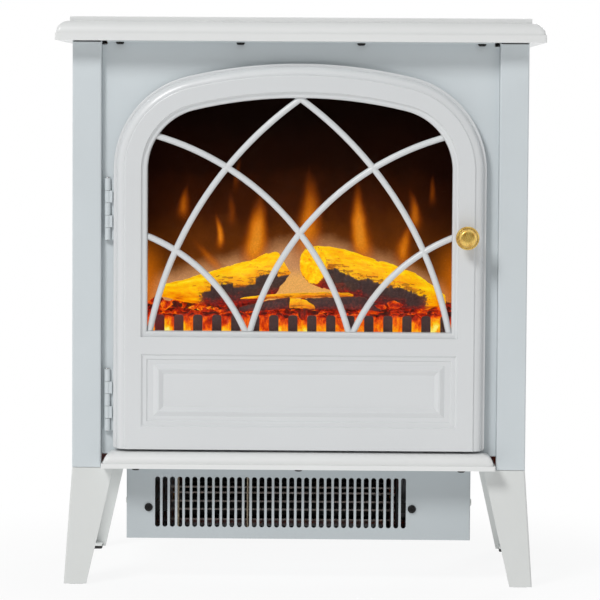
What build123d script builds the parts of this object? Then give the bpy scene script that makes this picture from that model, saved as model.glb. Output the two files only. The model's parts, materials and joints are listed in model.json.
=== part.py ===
from build123d import *
import os
from math import cos, hypot, radians, sin

# Free-standing electric stove: a white moulded door with gothic tracery and a lit log fire behind it,
# a sheet-steel cabinet on four splayed legs, and a fan heater hung under the cabinet.
# Millimetres. X to the right, Y to the back, Z up. The origin is on the floor, under the middle.

# ---- Driving dimensions ----
MANTEL_W = 470.0
HEIGHT = 550.0
DEPTH = 282.0  # from the tip of the door knob to the back of the mantel
BODY_W = 440.0
LEG_H = 114.0
MANTEL_T = 23.0
SHEET = 1.0  # steel sheet
TOUCH = 0.2  # air between pieces that only lie against each other
RUN = 0.05  # radial clearance of a shaft in its hole
SCREW_R = 1.75
SCREW_HOLE_R = 1.9
HEAD_R = 4.0

# ---- Depth planes, front to back ----
KNOB_TIP_Y = -DEPTH / 2
MANTEL_FRONT_Y = -131.0
LEDGE_FRONT_Y = -128.0
DOOR_FACE_Y = -119.0
DOOR_BAND_Y = -117.4  # front of the round band just inside the lip
DOOR_BACK_Y = -101.0
COLUMN_Y = -107.5
PANEL_Y = -99.5
BODY_BACK_Y = 131.0
MANTEL_BACK_Y = DEPTH / 2

# ---- Heights ----
FLOOR_CLEAR = 0.8
BASE_Z = LEG_H
MANTEL_Z = HEIGHT - MANTEL_T
LEDGE_TOP_Z = 130.5
DOOR_Z0 = 133.0
WINDOW_Z0 = 247.5
SHELF_Z = 236.0

# ---- Door outline: straight sides, a round shoulder each side and a flat crown arc ----
DOOR_HALF_W = 180.0
SHOULDER_R = 92.0
CROWN_R = 468.0
DOOR_TOP_Z = 506.0
WINDOW_INSET = 33.0

# ---- Tracery: three rings about one centre each side, mirrored ----
TRACERY_CENTRE = (212.0, 177.0)
TRACERY_R0 = 174.5
TRACERY_STEP = 94.5
TRACERY_BAR_W = 6.0
TRACERY_T = 6.4  # at the crown of a bar
TRACERY_FLAT = 3.6  # at its sides

# ---- Hinge ----
HINGE_X = -186.0
HINGE_Y = -103.0
KNUCKLE_R = 3.0
KNUCKLE_H = 12.0
KNUCKLES = 5
KNUCKLE_GAP = 0.4
PIN_R = 1.5
HINGE_Z = (149.4, 334.8)
LEAF_T = 1.2
LEAF_X = (HINGE_X + KNUCKLE_R + 0.6, -158.0)  # the flat part of both leaves
LEAF_SHANK_R = 1.2  # shank of the rivets and screws through the leaves
LEAF_SCREWS = [(-168.0, z0 + dz) for z0 in HINGE_Z for dz in (14.0, 46.0)]

# ---- Heater housing under the cabinet ----
HOUSING_HALF_W = 168.0
HOUSING_Y0 = -90.0
HOUSING_Y1 = 22.0
HOUSING_Z0 = 42.5
SLOTS = 34
SLOT_PITCH = 7.285
SLOT_W = 4.9
SLOT_H = 49.4
SLOT_CENTRE = (-17.5, 78.3)
HOUSING_SCREWS = ((-146.4, 72.8), (111.0, 72.8))

# ---- Fan, flame spindle and controls ----
BLOWER_Y, BLOWER_Z, BLOWER_R = -26.0, 78.0, 22.0
BLOWER_X0, BLOWER_X1 = -118.0, 86.0
SPINDLE_Y, SPINDLE_Z = 42.0, 292.0
CONTROL_Z = 190.0
ROCKER_X = (-60.0, -34.0, -8.0)
DIAL_X = 44.0
ROCKER_TILT = 7.0
CONTROL_SCREW_X = (-85.0, 85.0)


# ---- Small helpers ----
def block(x0, x1, y0, y1, z0, z1):
    """A box between two corners."""
    return Pos((x0 + x1) / 2, (y0 + y1) / 2, (z0 + z1) / 2) * Box(x1 - x0, y1 - y0, z1 - z0)


def rod_x(radius, x0, x1, y, z):
    """A round bar along X."""
    return Pos((x0 + x1) / 2, y, z) * Rot(0, 90, 0) * Cylinder(radius, x1 - x0)


def rod_y(radius, y0, y1, x, z):
    """A round bar along Y."""
    return Pos(x, (y0 + y1) / 2, z) * Rot(90, 0, 0) * Cylinder(radius, y1 - y0)


def rod_z(radius, z0, z1, x, y):
    """A round bar along Z."""
    return Pos(x, y, (z0 + z1) / 2) * Cylinder(radius, z1 - z0)


def plate_xz(face, y_back, y_front, lean=0.0):
    """A flat face drawn in x and z, given thickness from y_back forwards to y_front.

    Its sides lean inwards by that many degrees towards the front, or outwards when it is negative.
    """
    plane = Plane(origin=(0, y_back, 0), x_dir=(1, 0, 0), z_dir=(0, -1, 0))
    return extrude(plane * face, amount=y_back - y_front, taper=lean)


def rect_face(x0, x1, z0, z1):
    """A rectangle in x and z."""
    return Pos((x0 + x1) / 2, (z0 + z1) / 2) * Rectangle(x1 - x0, z1 - z0)


def arch_face(inset, z0):
    """The door's outline in x and z, moved in by inset, with its straight bottom at z0."""
    half = DOOR_HALF_W - inset
    shoulder_r = SHOULDER_R - inset
    crown_r = CROWN_R - inset
    shoulder_x = DOOR_HALF_W - SHOULDER_R
    crown_z = DOOR_TOP_Z - CROWN_R
    reach = CROWN_R - SHOULDER_R
    shoulder_z = crown_z + (reach**2 - shoulder_x**2) ** 0.5
    joint = (shoulder_x / reach * crown_r, crown_z + (shoulder_z - crown_z) / reach * crown_r)
    bow = (shoulder_x / reach + 1, (shoulder_z - crown_z) / reach)
    bow_length = hypot(*bow)
    middle = (shoulder_x + bow[0] / bow_length * shoulder_r, shoulder_z + bow[1] / bow_length * shoulder_r)
    edges = [
        Line((-half, z0), (-half, shoulder_z)),
        ThreePointArc((-half, shoulder_z), (-middle[0], middle[1]), (-joint[0], joint[1])),
        ThreePointArc((-joint[0], joint[1]), (0, crown_z + crown_r), joint),
        ThreePointArc(joint, middle, (half, shoulder_z)),
        Line((half, shoulder_z), (half, z0)),
        Line((half, z0), (-half, z0)),
    ]
    return make_face(Wire(edges))


def bent_sheet(points, side, radius=1.6, thickness=SHEET):
    """The section of a folded sheet: its outer line and the side that the metal is on."""
    path = FilletPolyline(*points, radius=radius)
    return make_face(offset(path, amount=thickness, side=side, closed=True))


def pan_screw_up(x, y, z, length, head_h=2.4):
    """A pan-head screw driven upwards: its head hangs under height z."""
    head = rod_z(HEAD_R, z - head_h, z, x, y)
    head = fillet(head.edges().group_by(Axis.Z)[0], head_h * 0.8)
    drive = Pos(x, y, z - head_h) * Box(3.2, 0.9, 1.6) + Pos(x, y, z - head_h) * Box(0.9, 3.2, 1.6)
    return head - drive + rod_z(SCREW_R, z, z + length, x, y)


def pan_screw_y(x, y, z, length, way):
    """A pan-head screw along Y with its head on the side that way (+1 back, -1 front) points to."""
    screw = pan_screw_up(0, 0, 0, length)
    return Pos(x, y, z) * Rot(-90 * way, 0, 0) * Rot(180, 0, 0) * screw


def pan_screw_x(x, y, z, length, way):
    """A pan-head screw along X with its head on the side that way points to."""
    screw = pan_screw_up(0, 0, 0, length)
    return Pos(x, y, z) * Rot(0, -90 if way > 0 else 90, 0) * screw


def fuse(shapes):
    """Several shapes joined into one."""
    total = shapes[0]
    for shape in shapes[1:]:
        total = total + shape
    return total


def save(name, shape):
    """Writes one node, which may hold several separate solids."""
    solids = shape if isinstance(shape, list) else [shape]
    solids = [solid for item in solids for solid in item.solids()]
    export_step(Compound(children=solids), f"parts/{name}.step")


# ---- Moulded edge of mantel and ledge: a square lip, a quarter round and, on the mantel, a flat cap ----
def moulded_board(half_w, y0, y1, z0, lip_h, round_h, cap_h, lip_step, round_step):
    lip = block(-half_w, half_w, y0, y1, z0, z0 + lip_h)
    lip = fillet(lip.edges().filter_by(Axis.Z).group_by(Axis.Y)[0], 2.0)
    inner = half_w - lip_step
    ovolo = block(-inner, inner, y0 + lip_step, y1, z0 + lip_h, z0 + lip_h + round_h)
    ovolo = fillet(ovolo.edges().filter_by(Axis.Z).group_by(Axis.Y)[0], 3.0)
    top = ovolo.edges().group_by(Axis.Z)[-1]
    ovolo = fillet([edge for edge in top if edge.center().Y < y1 - 1], round_h - 0.4)
    board = lip + ovolo
    if cap_h:
        cap_half = inner - round_step
        cap_z = z0 + lip_h + round_h
        cap = block(-cap_half, cap_half, y0 + lip_step + round_step, y1, cap_z, cap_z + cap_h)
        cap = fillet(cap.edges().group_by(Axis.Z)[-1], 1.0)
        board = board + cap
    return board


MANTEL_SCREW_X = (-174.5, -58.2, 58.2, 174.5)
MANTEL_SCREW_Y = -103.6
SIDE_TOP_SCREWS = [(side * 208.0, y) for side in (-1, 1) for y in (-60.0, 90.0)]
LEDGE_SCREWS = [(x, -110.0) for x in (-158.0, 0.0, 158.0)]


def mantel_top():
    board = moulded_board(MANTEL_W / 2, MANTEL_FRONT_Y, MANTEL_BACK_Y, MANTEL_Z, 7.0, 11.5, 4.5, 1.0, 12.4)
    holes = [(x, MANTEL_SCREW_Y) for x in MANTEL_SCREW_X] + SIDE_TOP_SCREWS
    for x, y in holes:
        board = board - rod_z(SCREW_HOLE_R, MANTEL_Z - 1, MANTEL_Z + 13, x, y)
    return board


def hearth_ledge():
    board = moulded_board(190.4, LEDGE_FRONT_Y, PANEL_Y - TOUCH, BASE_Z + SHEET, 4.6, 10.9, 0, 2.0, 0)
    for x, y in LEDGE_SCREWS:
        board = board - rod_z(SCREW_HOLE_R, BASE_Z, BASE_Z + 11, x, y)
    return board


# ---- Cabinet sheet metal ----
COLUMN_X = 192.0  # inner edge of the front column
REAR_FLANGE_X = 200.0
COLUMN_GAP = 1.2  # the column stops this far under the mantel
BACK_SCREWS = [(side * 206.5, z) for side in (-1, 1) for z in (135.0, 260.0, 385.0, 510.0)]
BASE_BACK_SCREWS = [(x, 124.0) for x in (-110.0, 110.0)]


def side_panel(side):
    """One side, folded round the front into the column and round the back into a flange."""
    half = BODY_W / 2
    outline = [(-REAR_FLANGE_X, BODY_BACK_Y), (-half, BODY_BACK_Y), (-half, COLUMN_Y), (-COLUMN_X, COLUMN_Y)]
    outline.append((-COLUMN_X, -88.0))
    panel = Pos(0, 0, BASE_Z) * extrude(bent_sheet(outline, Side.LEFT), amount=MANTEL_Z - BASE_Z)
    flange = block(-half + SHEET, -198, -98, 122, MANTEL_Z - SHEET, MANTEL_Z)
    panel = panel + flange
    column_x = (-half - 1, -COLUMN_X + 1)
    panel = panel - block(*column_x, COLUMN_Y - 1, COLUMN_Y + 2, MANTEL_Z - COLUMN_GAP, MANTEL_Z + 1)
    floor_slot = (COLUMN_Y + SHEET + 0.1, -87, BASE_Z - 1, BASE_Z + SHEET + TOUCH)
    panel = panel - block(-COLUMN_X - SHEET - 0.2, -COLUMN_X + 0.2, *floor_slot)
    for x, y in SIDE_TOP_SCREWS[:2]:
        panel = panel - rod_z(SCREW_HOLE_R, MANTEL_Z - 5, MANTEL_Z + 1, x, y)
    for x, z in BACK_SCREWS[:4]:
        panel = panel - rod_y(SCREW_HOLE_R, BODY_BACK_Y - 5, BODY_BACK_Y + 1, x, z)
    return panel if side < 0 else mirror(panel, about=Plane.YZ)


PANEL_HALF = COLUMN_X - TOUCH
CONTROL_WINDOW = (80.0, 168.0, 212.0)
CATCH_X, CATCH_Z = 172.0, 340.0


def front_panel():
    """The sheet behind the door, with its window, its control opening and folded edges."""
    back = PANEL_Y + SHEET
    panel = block(-PANEL_HALF, PANEL_HALF, PANEL_Y, back, 126.5, MANTEL_Z)
    panel = panel + block(-PANEL_HALF, PANEL_HALF, COLUMN_Y + TOUCH, back, MANTEL_Z - SHEET, MANTEL_Z)
    for side in (-1, 1):
        edge_x = sorted((side * PANEL_HALF, side * (PANEL_HALF - SHEET)))
        panel = panel + block(*edge_x, PANEL_Y, -86.0, 126.5, MANTEL_Z - 4)
        relief_x = sorted((side * PANEL_HALF, side * (PANEL_HALF - 5)))
        panel = panel - block(*relief_x, COLUMN_Y, back + 1, MANTEL_Z - 3.6, MANTEL_Z + 1)
    panel = panel - plate_xz(arch_face(WINDOW_INSET - 5, WINDOW_Z0 - 4.5), back + 1, PANEL_Y - 1)
    half, low, high = CONTROL_WINDOW
    panel = panel - block(-half, half, PANEL_Y - 1, back + 1, low, high)
    panel = panel - block(CATCH_X - 4, CATCH_X + 4, PANEL_Y - 1, back + 1, CATCH_Z - 18, CATCH_Z + 18)
    for x in MANTEL_SCREW_X:
        panel = panel - rod_z(SCREW_HOLE_R, MANTEL_Z - 5, MANTEL_Z + 1, x, MANTEL_SCREW_Y)
    for x, z in LEAF_SCREWS:
        panel = panel - rod_y(LEAF_SHANK_R + RUN, PANEL_Y - 1, back + 1, x, z)
    for x in CONTROL_SCREW_X:
        panel = panel - rod_y(SCREW_HOLE_R, PANEL_Y - 1, back + 1, x, CONTROL_Z)
    return panel


CORD_X, CORD_Z = 150.0, 135.0
CORD_HOLE_R = 7.0
CORD_BORE_R = 4.0
VENT_ROWS = 7


def back_panel():
    """The rear sheet, with two banks of vent slots and the hole of the cord gland."""
    y0, y1 = BODY_BACK_Y, BODY_BACK_Y + SHEET
    panel = block(-213, 213, y0, y1, 119, 522)
    panel = fillet(panel.edges().filter_by(Axis.Y), 4)
    for bank_x in (-95.0, 95.0):
        for row in range(VENT_ROWS):
            slot = rect_face(-28, 28, -2, 2)
            slot = fillet(slot.vertices(), 1.9)
            panel = panel - plate_xz(Pos(bank_x, 430 + 9 * row) * slot, y1 + 1, y0 - 1)
            panel = panel - plate_xz(Pos(bank_x, 160 + 9 * row) * slot, y1 + 1, y0 - 1)
    panel = panel - rod_y(CORD_HOLE_R, y0 - 1, y1 + 1, CORD_X, CORD_Z)
    for x, z in BACK_SCREWS:
        panel = panel - rod_y(SCREW_HOLE_R, y0 - 1, y1 + 1, x, z)
    return panel


LEG_TOP = 40.0  # width of a leg's face at the top
LEG_FOOT = 22.0  # and at the floor
LEG_SPLAY = 7.5
LEG_WALL = 3.0
LEG_SCREWS = ((12.0, 30.0), (20.0, 12.0))  # from the cabinet's corner, inwards


def base_plate():
    """The cabinet's floor, with turned-up sides, which carries the legs, the ledge and the heater."""
    half = BODY_W / 2 - SHEET - TOUCH
    plate = block(-half, half, COLUMN_Y + SHEET + TOUCH, BODY_BACK_Y - SHEET - TOUCH, BASE_Z, BASE_Z + SHEET)
    tongue = block(-188, 188, -118, COLUMN_Y + 2, BASE_Z, BASE_Z + SHEET)
    plate = fillet(plate.edges().filter_by(Axis.Z), 3.0) + tongue
    for side in (-1, 1):
        wall_x = sorted((side * half, side * (half - SHEET)))
        plate = plate + block(*wall_x, -86, 118, BASE_Z, BASE_Z + 14)
    plate = plate - block(-120, 100, -46, 6, BASE_Z - 1, BASE_Z + SHEET + 1)
    for x, y in leg_screw_points() + LEDGE_SCREWS + HOUSING_TOP_SCREWS:
        plate = plate - rod_z(SCREW_HOLE_R, BASE_Z - 1, BASE_Z + SHEET + 1, x, y)
    return plate


def leg_corners():
    """Each leg's name, the cabinet corner that it stands under, and its outward directions."""
    half = BODY_W / 2
    return [
        ("leg_front_left", -half, COLUMN_Y, -1, -1),
        ("leg_front_right", half, COLUMN_Y, 1, -1),
        ("leg_rear_left", -half, BODY_BACK_Y, -1, 1),
        ("leg_rear_right", half, BODY_BACK_Y, 1, 1),
    ]


def leg_screw_points():
    return [(x - sx * dx, y - sy * dy) for _, x, y, sx, sy in leg_corners() for dx, dy in LEG_SCREWS]


def angle_face(x, y, sx, sy, arm, wall):
    """An L-shaped section with its corner at x, y and its arms reaching inwards."""
    corners = [(0, 0), (arm, 0), (arm, wall), (wall, wall), (wall, arm), (0, arm)]
    return make_face(Polyline(*[(x - sx * a, y - sy * b) for a, b in corners], close=True))


def leg(x, y, sx, sy):
    """A splayed, tapered angle leg with a top flange and a sole plate."""
    top_z = LEG_H - 0.6
    foot_x, foot_y = x + sx * LEG_SPLAY, y + sy * LEG_SPLAY
    high = Pos(0, 0, top_z) * angle_face(x, y, sx, sy, LEG_TOP, LEG_WALL)
    low = Pos(0, 0, FLOOR_CLEAR) * angle_face(foot_x, foot_y, sx, sy, LEG_FOOT, LEG_WALL)
    shell = loft([low, high], ruled=True)
    corner_x, corner_y = (x + foot_x) / 2, (y + foot_y) / 2
    tall = [edge for edge in shell.edges() if edge.length > LEG_H / 2]
    corner = [edge for edge in tall if hypot(edge.center().X - corner_x, edge.center().Y - corner_y) < 0.5]
    shell = fillet(corner, 2.0)
    flange_x = sorted((x - sx * 1.0, x - sx * (LEG_TOP - 2)))
    flange_y = sorted((y - sy * 1.0, y - sy * (LEG_TOP - 2)))
    flange = block(*flange_x, *flange_y, LEG_H - 3, LEG_H)
    sole_x = sorted((foot_x - sx * 1.0, foot_x - sx * (LEG_FOOT - 3)))
    sole_y = sorted((foot_y - sy * 1.0, foot_y - sy * (LEG_FOOT - 3)))
    sole = block(*sole_x, *sole_y, 3.0, 5.5)
    whole = shell + flange + sole
    for dx, dy in LEG_SCREWS:
        whole = whole - rod_z(SCREW_HOLE_R, LEG_H - 5, LEG_H + 1, x - sx * dx, y - sy * dy)
    return whole


def foot_pad(x, y, sx, sy):
    """A soft pad inside the foot of a leg, standing a little proud of it."""
    foot_x, foot_y = x + sx * LEG_SPLAY, y + sy * LEG_SPLAY
    pad_x = sorted((foot_x - sx * 4.2, foot_x - sx * (LEG_FOOT - 3)))
    pad_y = sorted((foot_y - sy * 4.2, foot_y - sy * (LEG_FOOT - 3)))
    pad = block(*pad_x, *pad_y, 0, 3.0 - TOUCH)
    return fillet(pad.edges().filter_by(Axis.Z), 2)


# ---- Heater housing and what is in it ----
HOUSING_TOP = BASE_Z - TOUCH
HOUSING_TOP_SCREWS = [(side * 173.5, y) for side in (-1, 1) for y in (-70.0, 0.0)]
SIDE_SCREW_YZ = ((-60.0, 76.0), (-5.0, 76.0))


def slot_face(width, height):
    """An upright slot with round ends."""
    return fillet(rect_face(-width / 2, width / 2, -height / 2, height / 2).vertices(), width / 2 - 0.02)


def heater_housing():
    """An open-topped steel box with a slotted front outlet and a slotted rear intake."""
    half = HOUSING_HALF_W
    box = block(-half, half, HOUSING_Y0, HOUSING_Y1, HOUSING_Z0, HOUSING_TOP)
    box = fillet(box.edges().filter_by(Axis.Z), 1.4)
    hollow = half - SHEET
    box = box - block(-hollow, hollow, HOUSING_Y0 + SHEET, HOUSING_Y1 - SHEET, HOUSING_Z0 + SHEET, 200)
    for side in (-1, 1):
        flange_x = sorted((side * (half - 0.5), side * (half + 11)))
        box = box + block(*flange_x, HOUSING_Y0 + 8, HOUSING_Y1 - 8, HOUSING_TOP - SHEET, HOUSING_TOP)
    centre_x, centre_z = SLOT_CENTRE
    cutters = []
    for index in range(SLOTS):
        x = centre_x + (index - (SLOTS - 1) / 2) * SLOT_PITCH
        slot = Pos(x, centre_z) * slot_face(SLOT_W, SLOT_H)
        cutters.append(plate_xz(slot, HOUSING_Y0 + 3, HOUSING_Y0 - 3))
        if index % 2 == 0 and BLOWER_X0 < x < BLOWER_X1:
            cutters.append(plate_xz(slot, HOUSING_Y1 + 3, HOUSING_Y1 - 3))
    box = box - cutters
    for x, z in HOUSING_SCREWS:
        box = box - rod_y(SCREW_HOLE_R, HOUSING_Y0 - 3, HOUSING_Y0 + 3, x, z)
    for x, y in HOUSING_TOP_SCREWS:
        box = box - rod_z(SCREW_HOLE_R, HOUSING_TOP - 5, HOUSING_TOP + 3, x, y)
    for y, z in SIDE_SCREW_YZ:
        box = box - rod_x(SCREW_HOLE_R, -half - 3, half + 3, y, z)
    return box


ELEMENT_X0, ELEMENT_X1 = -128.0, 97.0
ELEMENT_Y0, ELEMENT_Y1 = -80.0, -64.0
WIRE_Z = (59.0, 69.0, 77.0, 85.5, 91.0)
WIRE_COIL_R = 1.1
EAR_HALF_H = 5.0
MICA_X = (-118.0, -50.0, 18.0, 84.0)


def element_frame():
    """The steel frame of the heating element, with ears that the two front screws hold."""
    outer = block(ELEMENT_X0, ELEMENT_X1, ELEMENT_Y0, ELEMENT_Y1, 50, 106)
    inner = block(ELEMENT_X0 + 1.5, ELEMENT_X1 - 1.5, ELEMENT_Y0 - 1, ELEMENT_Y1 + 1, 51.5, 104.5)
    frame = outer - inner
    strap_y = (HOUSING_Y0 + SHEET + TOUCH, ELEMENT_Y0 + 1.2)
    lip_y = (HOUSING_Y0 + SHEET + TOUCH, HOUSING_Y0 + 2 * SHEET + TOUCH)
    for (x, z), edge_x in zip(HOUSING_SCREWS, (ELEMENT_X0, ELEMENT_X1)):
        side = 1 if x > 0 else -1
        low, high = z - EAR_HALF_H, z + EAR_HALF_H
        frame = frame + block(*sorted((edge_x, x + side * 8)), ELEMENT_Y0, ELEMENT_Y0 + 1.2, low, high)
        frame = frame + block(*sorted((x + side * 6.8, x + side * 8)), *strap_y, low, high)
        frame = frame + block(*sorted((x - side * 5, x + side * 8)), *lip_y, low, high)
        frame = frame - rod_y(SCREW_HOLE_R, HOUSING_Y0, HOUSING_Y0 + 5, x, z)
    return frame


def mica_supports():
    """Upright mica strips that the heating wires pass through."""
    strips = []
    for x in MICA_X:
        strip = block(x - 0.6, x + 0.6, ELEMENT_Y0 + 1, ELEMENT_Y1 - 1, 51.7, 104.3)
        for z in WIRE_Z:
            strip = strip - rod_x(WIRE_COIL_R + 0.3, x - 2, x + 2, (ELEMENT_Y0 + ELEMENT_Y1) / 2, z)
        strips.append(strip)
    return strips


def heating_wires():
    """The runs of heating coil, each as its outer envelope."""
    y = (ELEMENT_Y0 + ELEMENT_Y1) / 2
    return [rod_x(WIRE_COIL_R, ELEMENT_X0 + 1.7, ELEMENT_X1 - 1.7, y, z) for z in WIRE_Z]


BLADES = 24
BLOWER_DISCS = 4


def blower_rotor():
    """A cross-flow rotor: discs carrying a ring of slim blades."""
    discs = []
    for index in range(BLOWER_DISCS):
        x = BLOWER_X0 + (BLOWER_X1 - BLOWER_X0 - 1.5) * index / (BLOWER_DISCS - 1)
        disc = rod_x(BLOWER_R, x, x + 1.5, 0, 0)
        bore = 3.0 + 0.02 if index in (0, BLOWER_DISCS - 1) else 14.0
        discs.append(disc - rod_x(bore, x - 1, x + 3, 0, 0))
    rotor = fuse(discs)
    for index in range(BLADES):
        blade = Pos((BLOWER_X0 + BLOWER_X1) / 2, 0, 0) * Box(BLOWER_X1 - BLOWER_X0, 1.0, 5.6)
        blade = Rot(360 / BLADES * index, 0, 0) * Pos(0, 0, BLOWER_R - 3.6) * Rot(28, 0, 0) * blade
        rotor = rotor + blade
    return Pos(0, BLOWER_Y, BLOWER_Z) * rotor


def blower_shaft():
    """Two stub shafts, one each end of the rotor, in the rotor's end discs."""
    stubs = [rod_x(3.0, BLOWER_X0 - 8, BLOWER_X0 + 12, BLOWER_Y, BLOWER_Z)]
    stubs.append(rod_x(3.0, BLOWER_X1 - 12, BLOWER_X1 + 26, BLOWER_Y, BLOWER_Z))
    return stubs


def blower_scroll():
    """The curved air guide round the rotor and the two end plates that carry it."""
    gap = BLOWER_R + 4
    arc = CenterArc((BLOWER_Y, BLOWER_Z), gap, -85, 205)
    section = make_face(offset(arc, amount=SHEET, side=Side.LEFT, closed=True))
    plane = Plane(origin=(BLOWER_X0 - 2, 0, 0), x_dir=(0, 1, 0), z_dir=(1, 0, 0))
    guide = extrude(plane * section, amount=BLOWER_X1 - BLOWER_X0 + 4)
    plates = []
    for x in (BLOWER_X0 - 3.5, BLOWER_X1 + 2):
        plate = block(x, x + 1.5, BLOWER_Y - 33, BLOWER_Y + 33, HOUSING_Z0 + SHEET, 112)
        plates.append(plate - rod_x(5.05, x - 1, x + 3, BLOWER_Y, BLOWER_Z))
    return fuse([guide, *plates])


def blower_bearings():
    """Plain bushes for the rotor's stub shafts."""
    bushes = []
    for x in (BLOWER_X0 - 3.5, BLOWER_X1 + 2):
        bush = rod_x(5.0, x, x + 1.5, BLOWER_Y, BLOWER_Z)
        outside = (x - 4, x - 0.05) if x < 0 else (x + 1.55, x + 5.5)
        bush = bush + rod_x(7.0, *outside, BLOWER_Y, BLOWER_Z)
        if x < 0:
            bush = bush + rod_x(5.0, x - 1, x + 1, BLOWER_Y, BLOWER_Z)
        else:
            bush = bush + rod_x(5.0, x + 1, x + 3, BLOWER_Y, BLOWER_Z)
        bushes.append(bush - rod_x(3.0 + RUN, x - 6, x + 8, BLOWER_Y, BLOWER_Z))
    return bushes


def blower_motor():
    """The shaded-pole motor: a laminated stack with end caps and a bore for the shaft."""
    x0 = BLOWER_X1 + 10
    stack = block(x0 + 4, x0 + 22, BLOWER_Y - 22, BLOWER_Y + 22, BLOWER_Z - 22, BLOWER_Z + 22)
    stack = fillet(stack.edges().filter_by(Axis.X), 4)
    motor = stack + rod_x(17, x0, x0 + 28, BLOWER_Y, BLOWER_Z)
    return motor - rod_x(3.0 + RUN, x0 - 1, x0 + 18, BLOWER_Y, BLOWER_Z)


def thermal_cutout():
    """The bimetal safety cut-out on the element's frame."""
    body = rod_z(7, 106 + TOUCH, 111, 60, (ELEMENT_Y0 + ELEMENT_Y1) / 2)
    return body + block(47, 73, -73.5, -70.5, 106 + TOUCH, 107.2)


# ---- Fire box ----
LINER_HALF = 161.0
LINER_Y0, LINER_Y1 = PANEL_Y + 2 * SHEET + 0.1, 104.0
LINER_TOP = 482.0
LINER_LIP = 4.0
SCREEN_Y = -12.0
CUTOUT_Y = 20.0


def firebox_shelf():
    """The floor of the fire box, open under the lamps and the ember bed."""
    half = LINER_HALF - TOUCH
    shelf = block(-half, half, -96, LINER_Y1 - TOUCH, SHELF_Z, SHELF_Z + SHEET)
    shelf = shelf - block(-140, 140, -78, -22, SHELF_Z - 1, SHELF_Z + 2)
    return shelf - block(-100, 100, 56, 90, SHELF_Z - 1, SHELF_Z + 2)


def firebox_liner():
    """The dark sides, roof and back of the fire box, with a flange to the front panel."""
    half, low = LINER_HALF, SHELF_Z - 10
    liner = block(-half - SHEET, half + SHEET, LINER_Y0, LINER_Y1 + SHEET, low, LINER_TOP + SHEET)
    liner = liner - block(-half, half, LINER_Y0 - 2, LINER_Y1, low - 1, LINER_TOP)
    lip_half = half + LINER_LIP
    lip = block(-lip_half, lip_half, LINER_Y0 - SHEET, LINER_Y0, low, LINER_TOP + LINER_LIP)
    liner = liner + (lip - block(-half, half, LINER_Y0 - 2, LINER_Y0 + 1, low - 1, LINER_TOP))
    for x0, x1, radius in ((half - 3, half + 9, 4.0), (-half - 9, -half + 3, 4.05)):
        liner = liner - rod_x(radius, x0, x1, SPINDLE_Y, SPINDLE_Z)
    return liner


def flame_screen():
    """The frosted acrylic sheet that the flames play on."""
    return block(-158.5, 158.5, SCREEN_Y, SCREEN_Y + 3, SHELF_Z + SHEET, LINER_TOP - 2)


# Each flame-shaped opening: its middle in x, its width and its height
FLAMES = (
    (-118, 40, 62),
    (-78, 34, 96),
    (-36, 42, 80),
    (4, 40, 118),
    (46, 36, 92),
    (84, 40, 104),
    (122, 32, 58),
)
FLAME_Z0 = 300.0


def flame_face(x, width, height):
    """One flame-shaped opening, as two bowed sides that meet in a tip that leans a little."""
    half = width / 2
    tip = (x + width * 0.12, FLAME_Z0 + height)
    left = Spline((x, FLAME_Z0), (x - half, FLAME_Z0 + height * 0.35), tip)
    right = Spline(tip, (x + half * 0.8, FLAME_Z0 + height * 0.42), (x, FLAME_Z0))
    return make_face(Wire([left, right]))


def flame_cutout_sheet():
    """The reflector behind the screen, pierced with flames that the turning fins light up."""
    sheet = block(-158.5, 158.5, CUTOUT_Y, CUTOUT_Y + SHEET, SHELF_Z + SHEET, LINER_TOP - 2)
    for x, width, height in FLAMES:
        sheet = sheet - plate_xz(flame_face(x, width, height), CUTOUT_Y + 3, CUTOUT_Y - 2)
    return sheet


def spindle_shaft():
    return rod_x(2.0, -LINER_HALF - 1, LINER_HALF + 9, SPINDLE_Y, SPINDLE_Z)


FIN_SETS = 9


def spindle_reflectors():
    """Bright fins clipped round the spindle, each set turned from the one before."""
    sets = []
    for index in range(FIN_SETS):
        x = -128 + 32 * index
        hub = rod_x(3.4, x - 12, x + 12, 0, 0)
        for turn in range(3):
            fin = Pos(x, 0, 7.4) * Box(22, 0.6, 9.5)
            hub = hub + Rot(120 * turn + 40 * index, 0, 0) * fin
        hub = hub - rod_x(2.0, x - 13, x + 13, 0, 0)
        sets.append(Pos(0, SPINDLE_Y, SPINDLE_Z) * hub)
    return sets


def spindle_motor():
    """The slow synchronous motor outside the right wall, with its ears."""
    x0 = LINER_HALF + SHEET + TOUCH
    motor = rod_x(24, x0, x0 + 18, SPINDLE_Y, SPINDLE_Z)
    motor = fillet(motor.edges().group_by(Axis.X)[-1], 2)
    motor = motor + block(x0, x0 + 1, SPINDLE_Y - 32, SPINDLE_Y + 32, SPINDLE_Z - 6, SPINDLE_Z + 6)
    return motor - rod_x(2.0 + RUN, x0 - 1, x0 + 10, SPINDLE_Y, SPINDLE_Z)


def spindle_bearing():
    """The plain bush in the left wall of the fire box, with its flange outside."""
    outside = -LINER_HALF - SHEET
    bush = rod_x(4.0, outside - 3, -LINER_HALF + 3, SPINDLE_Y, SPINDLE_Z)
    bush = bush + rod_x(6.0, outside - 3, outside - TOUCH, SPINDLE_Y, SPINDLE_Z)
    return bush - rod_x(2.0 + RUN, -LINER_HALF - 4, -LINER_HALF + 4, SPINDLE_Y, SPINDLE_Z)


LAMP_Y, LAMP_Z = 73.0, 259.0


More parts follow.
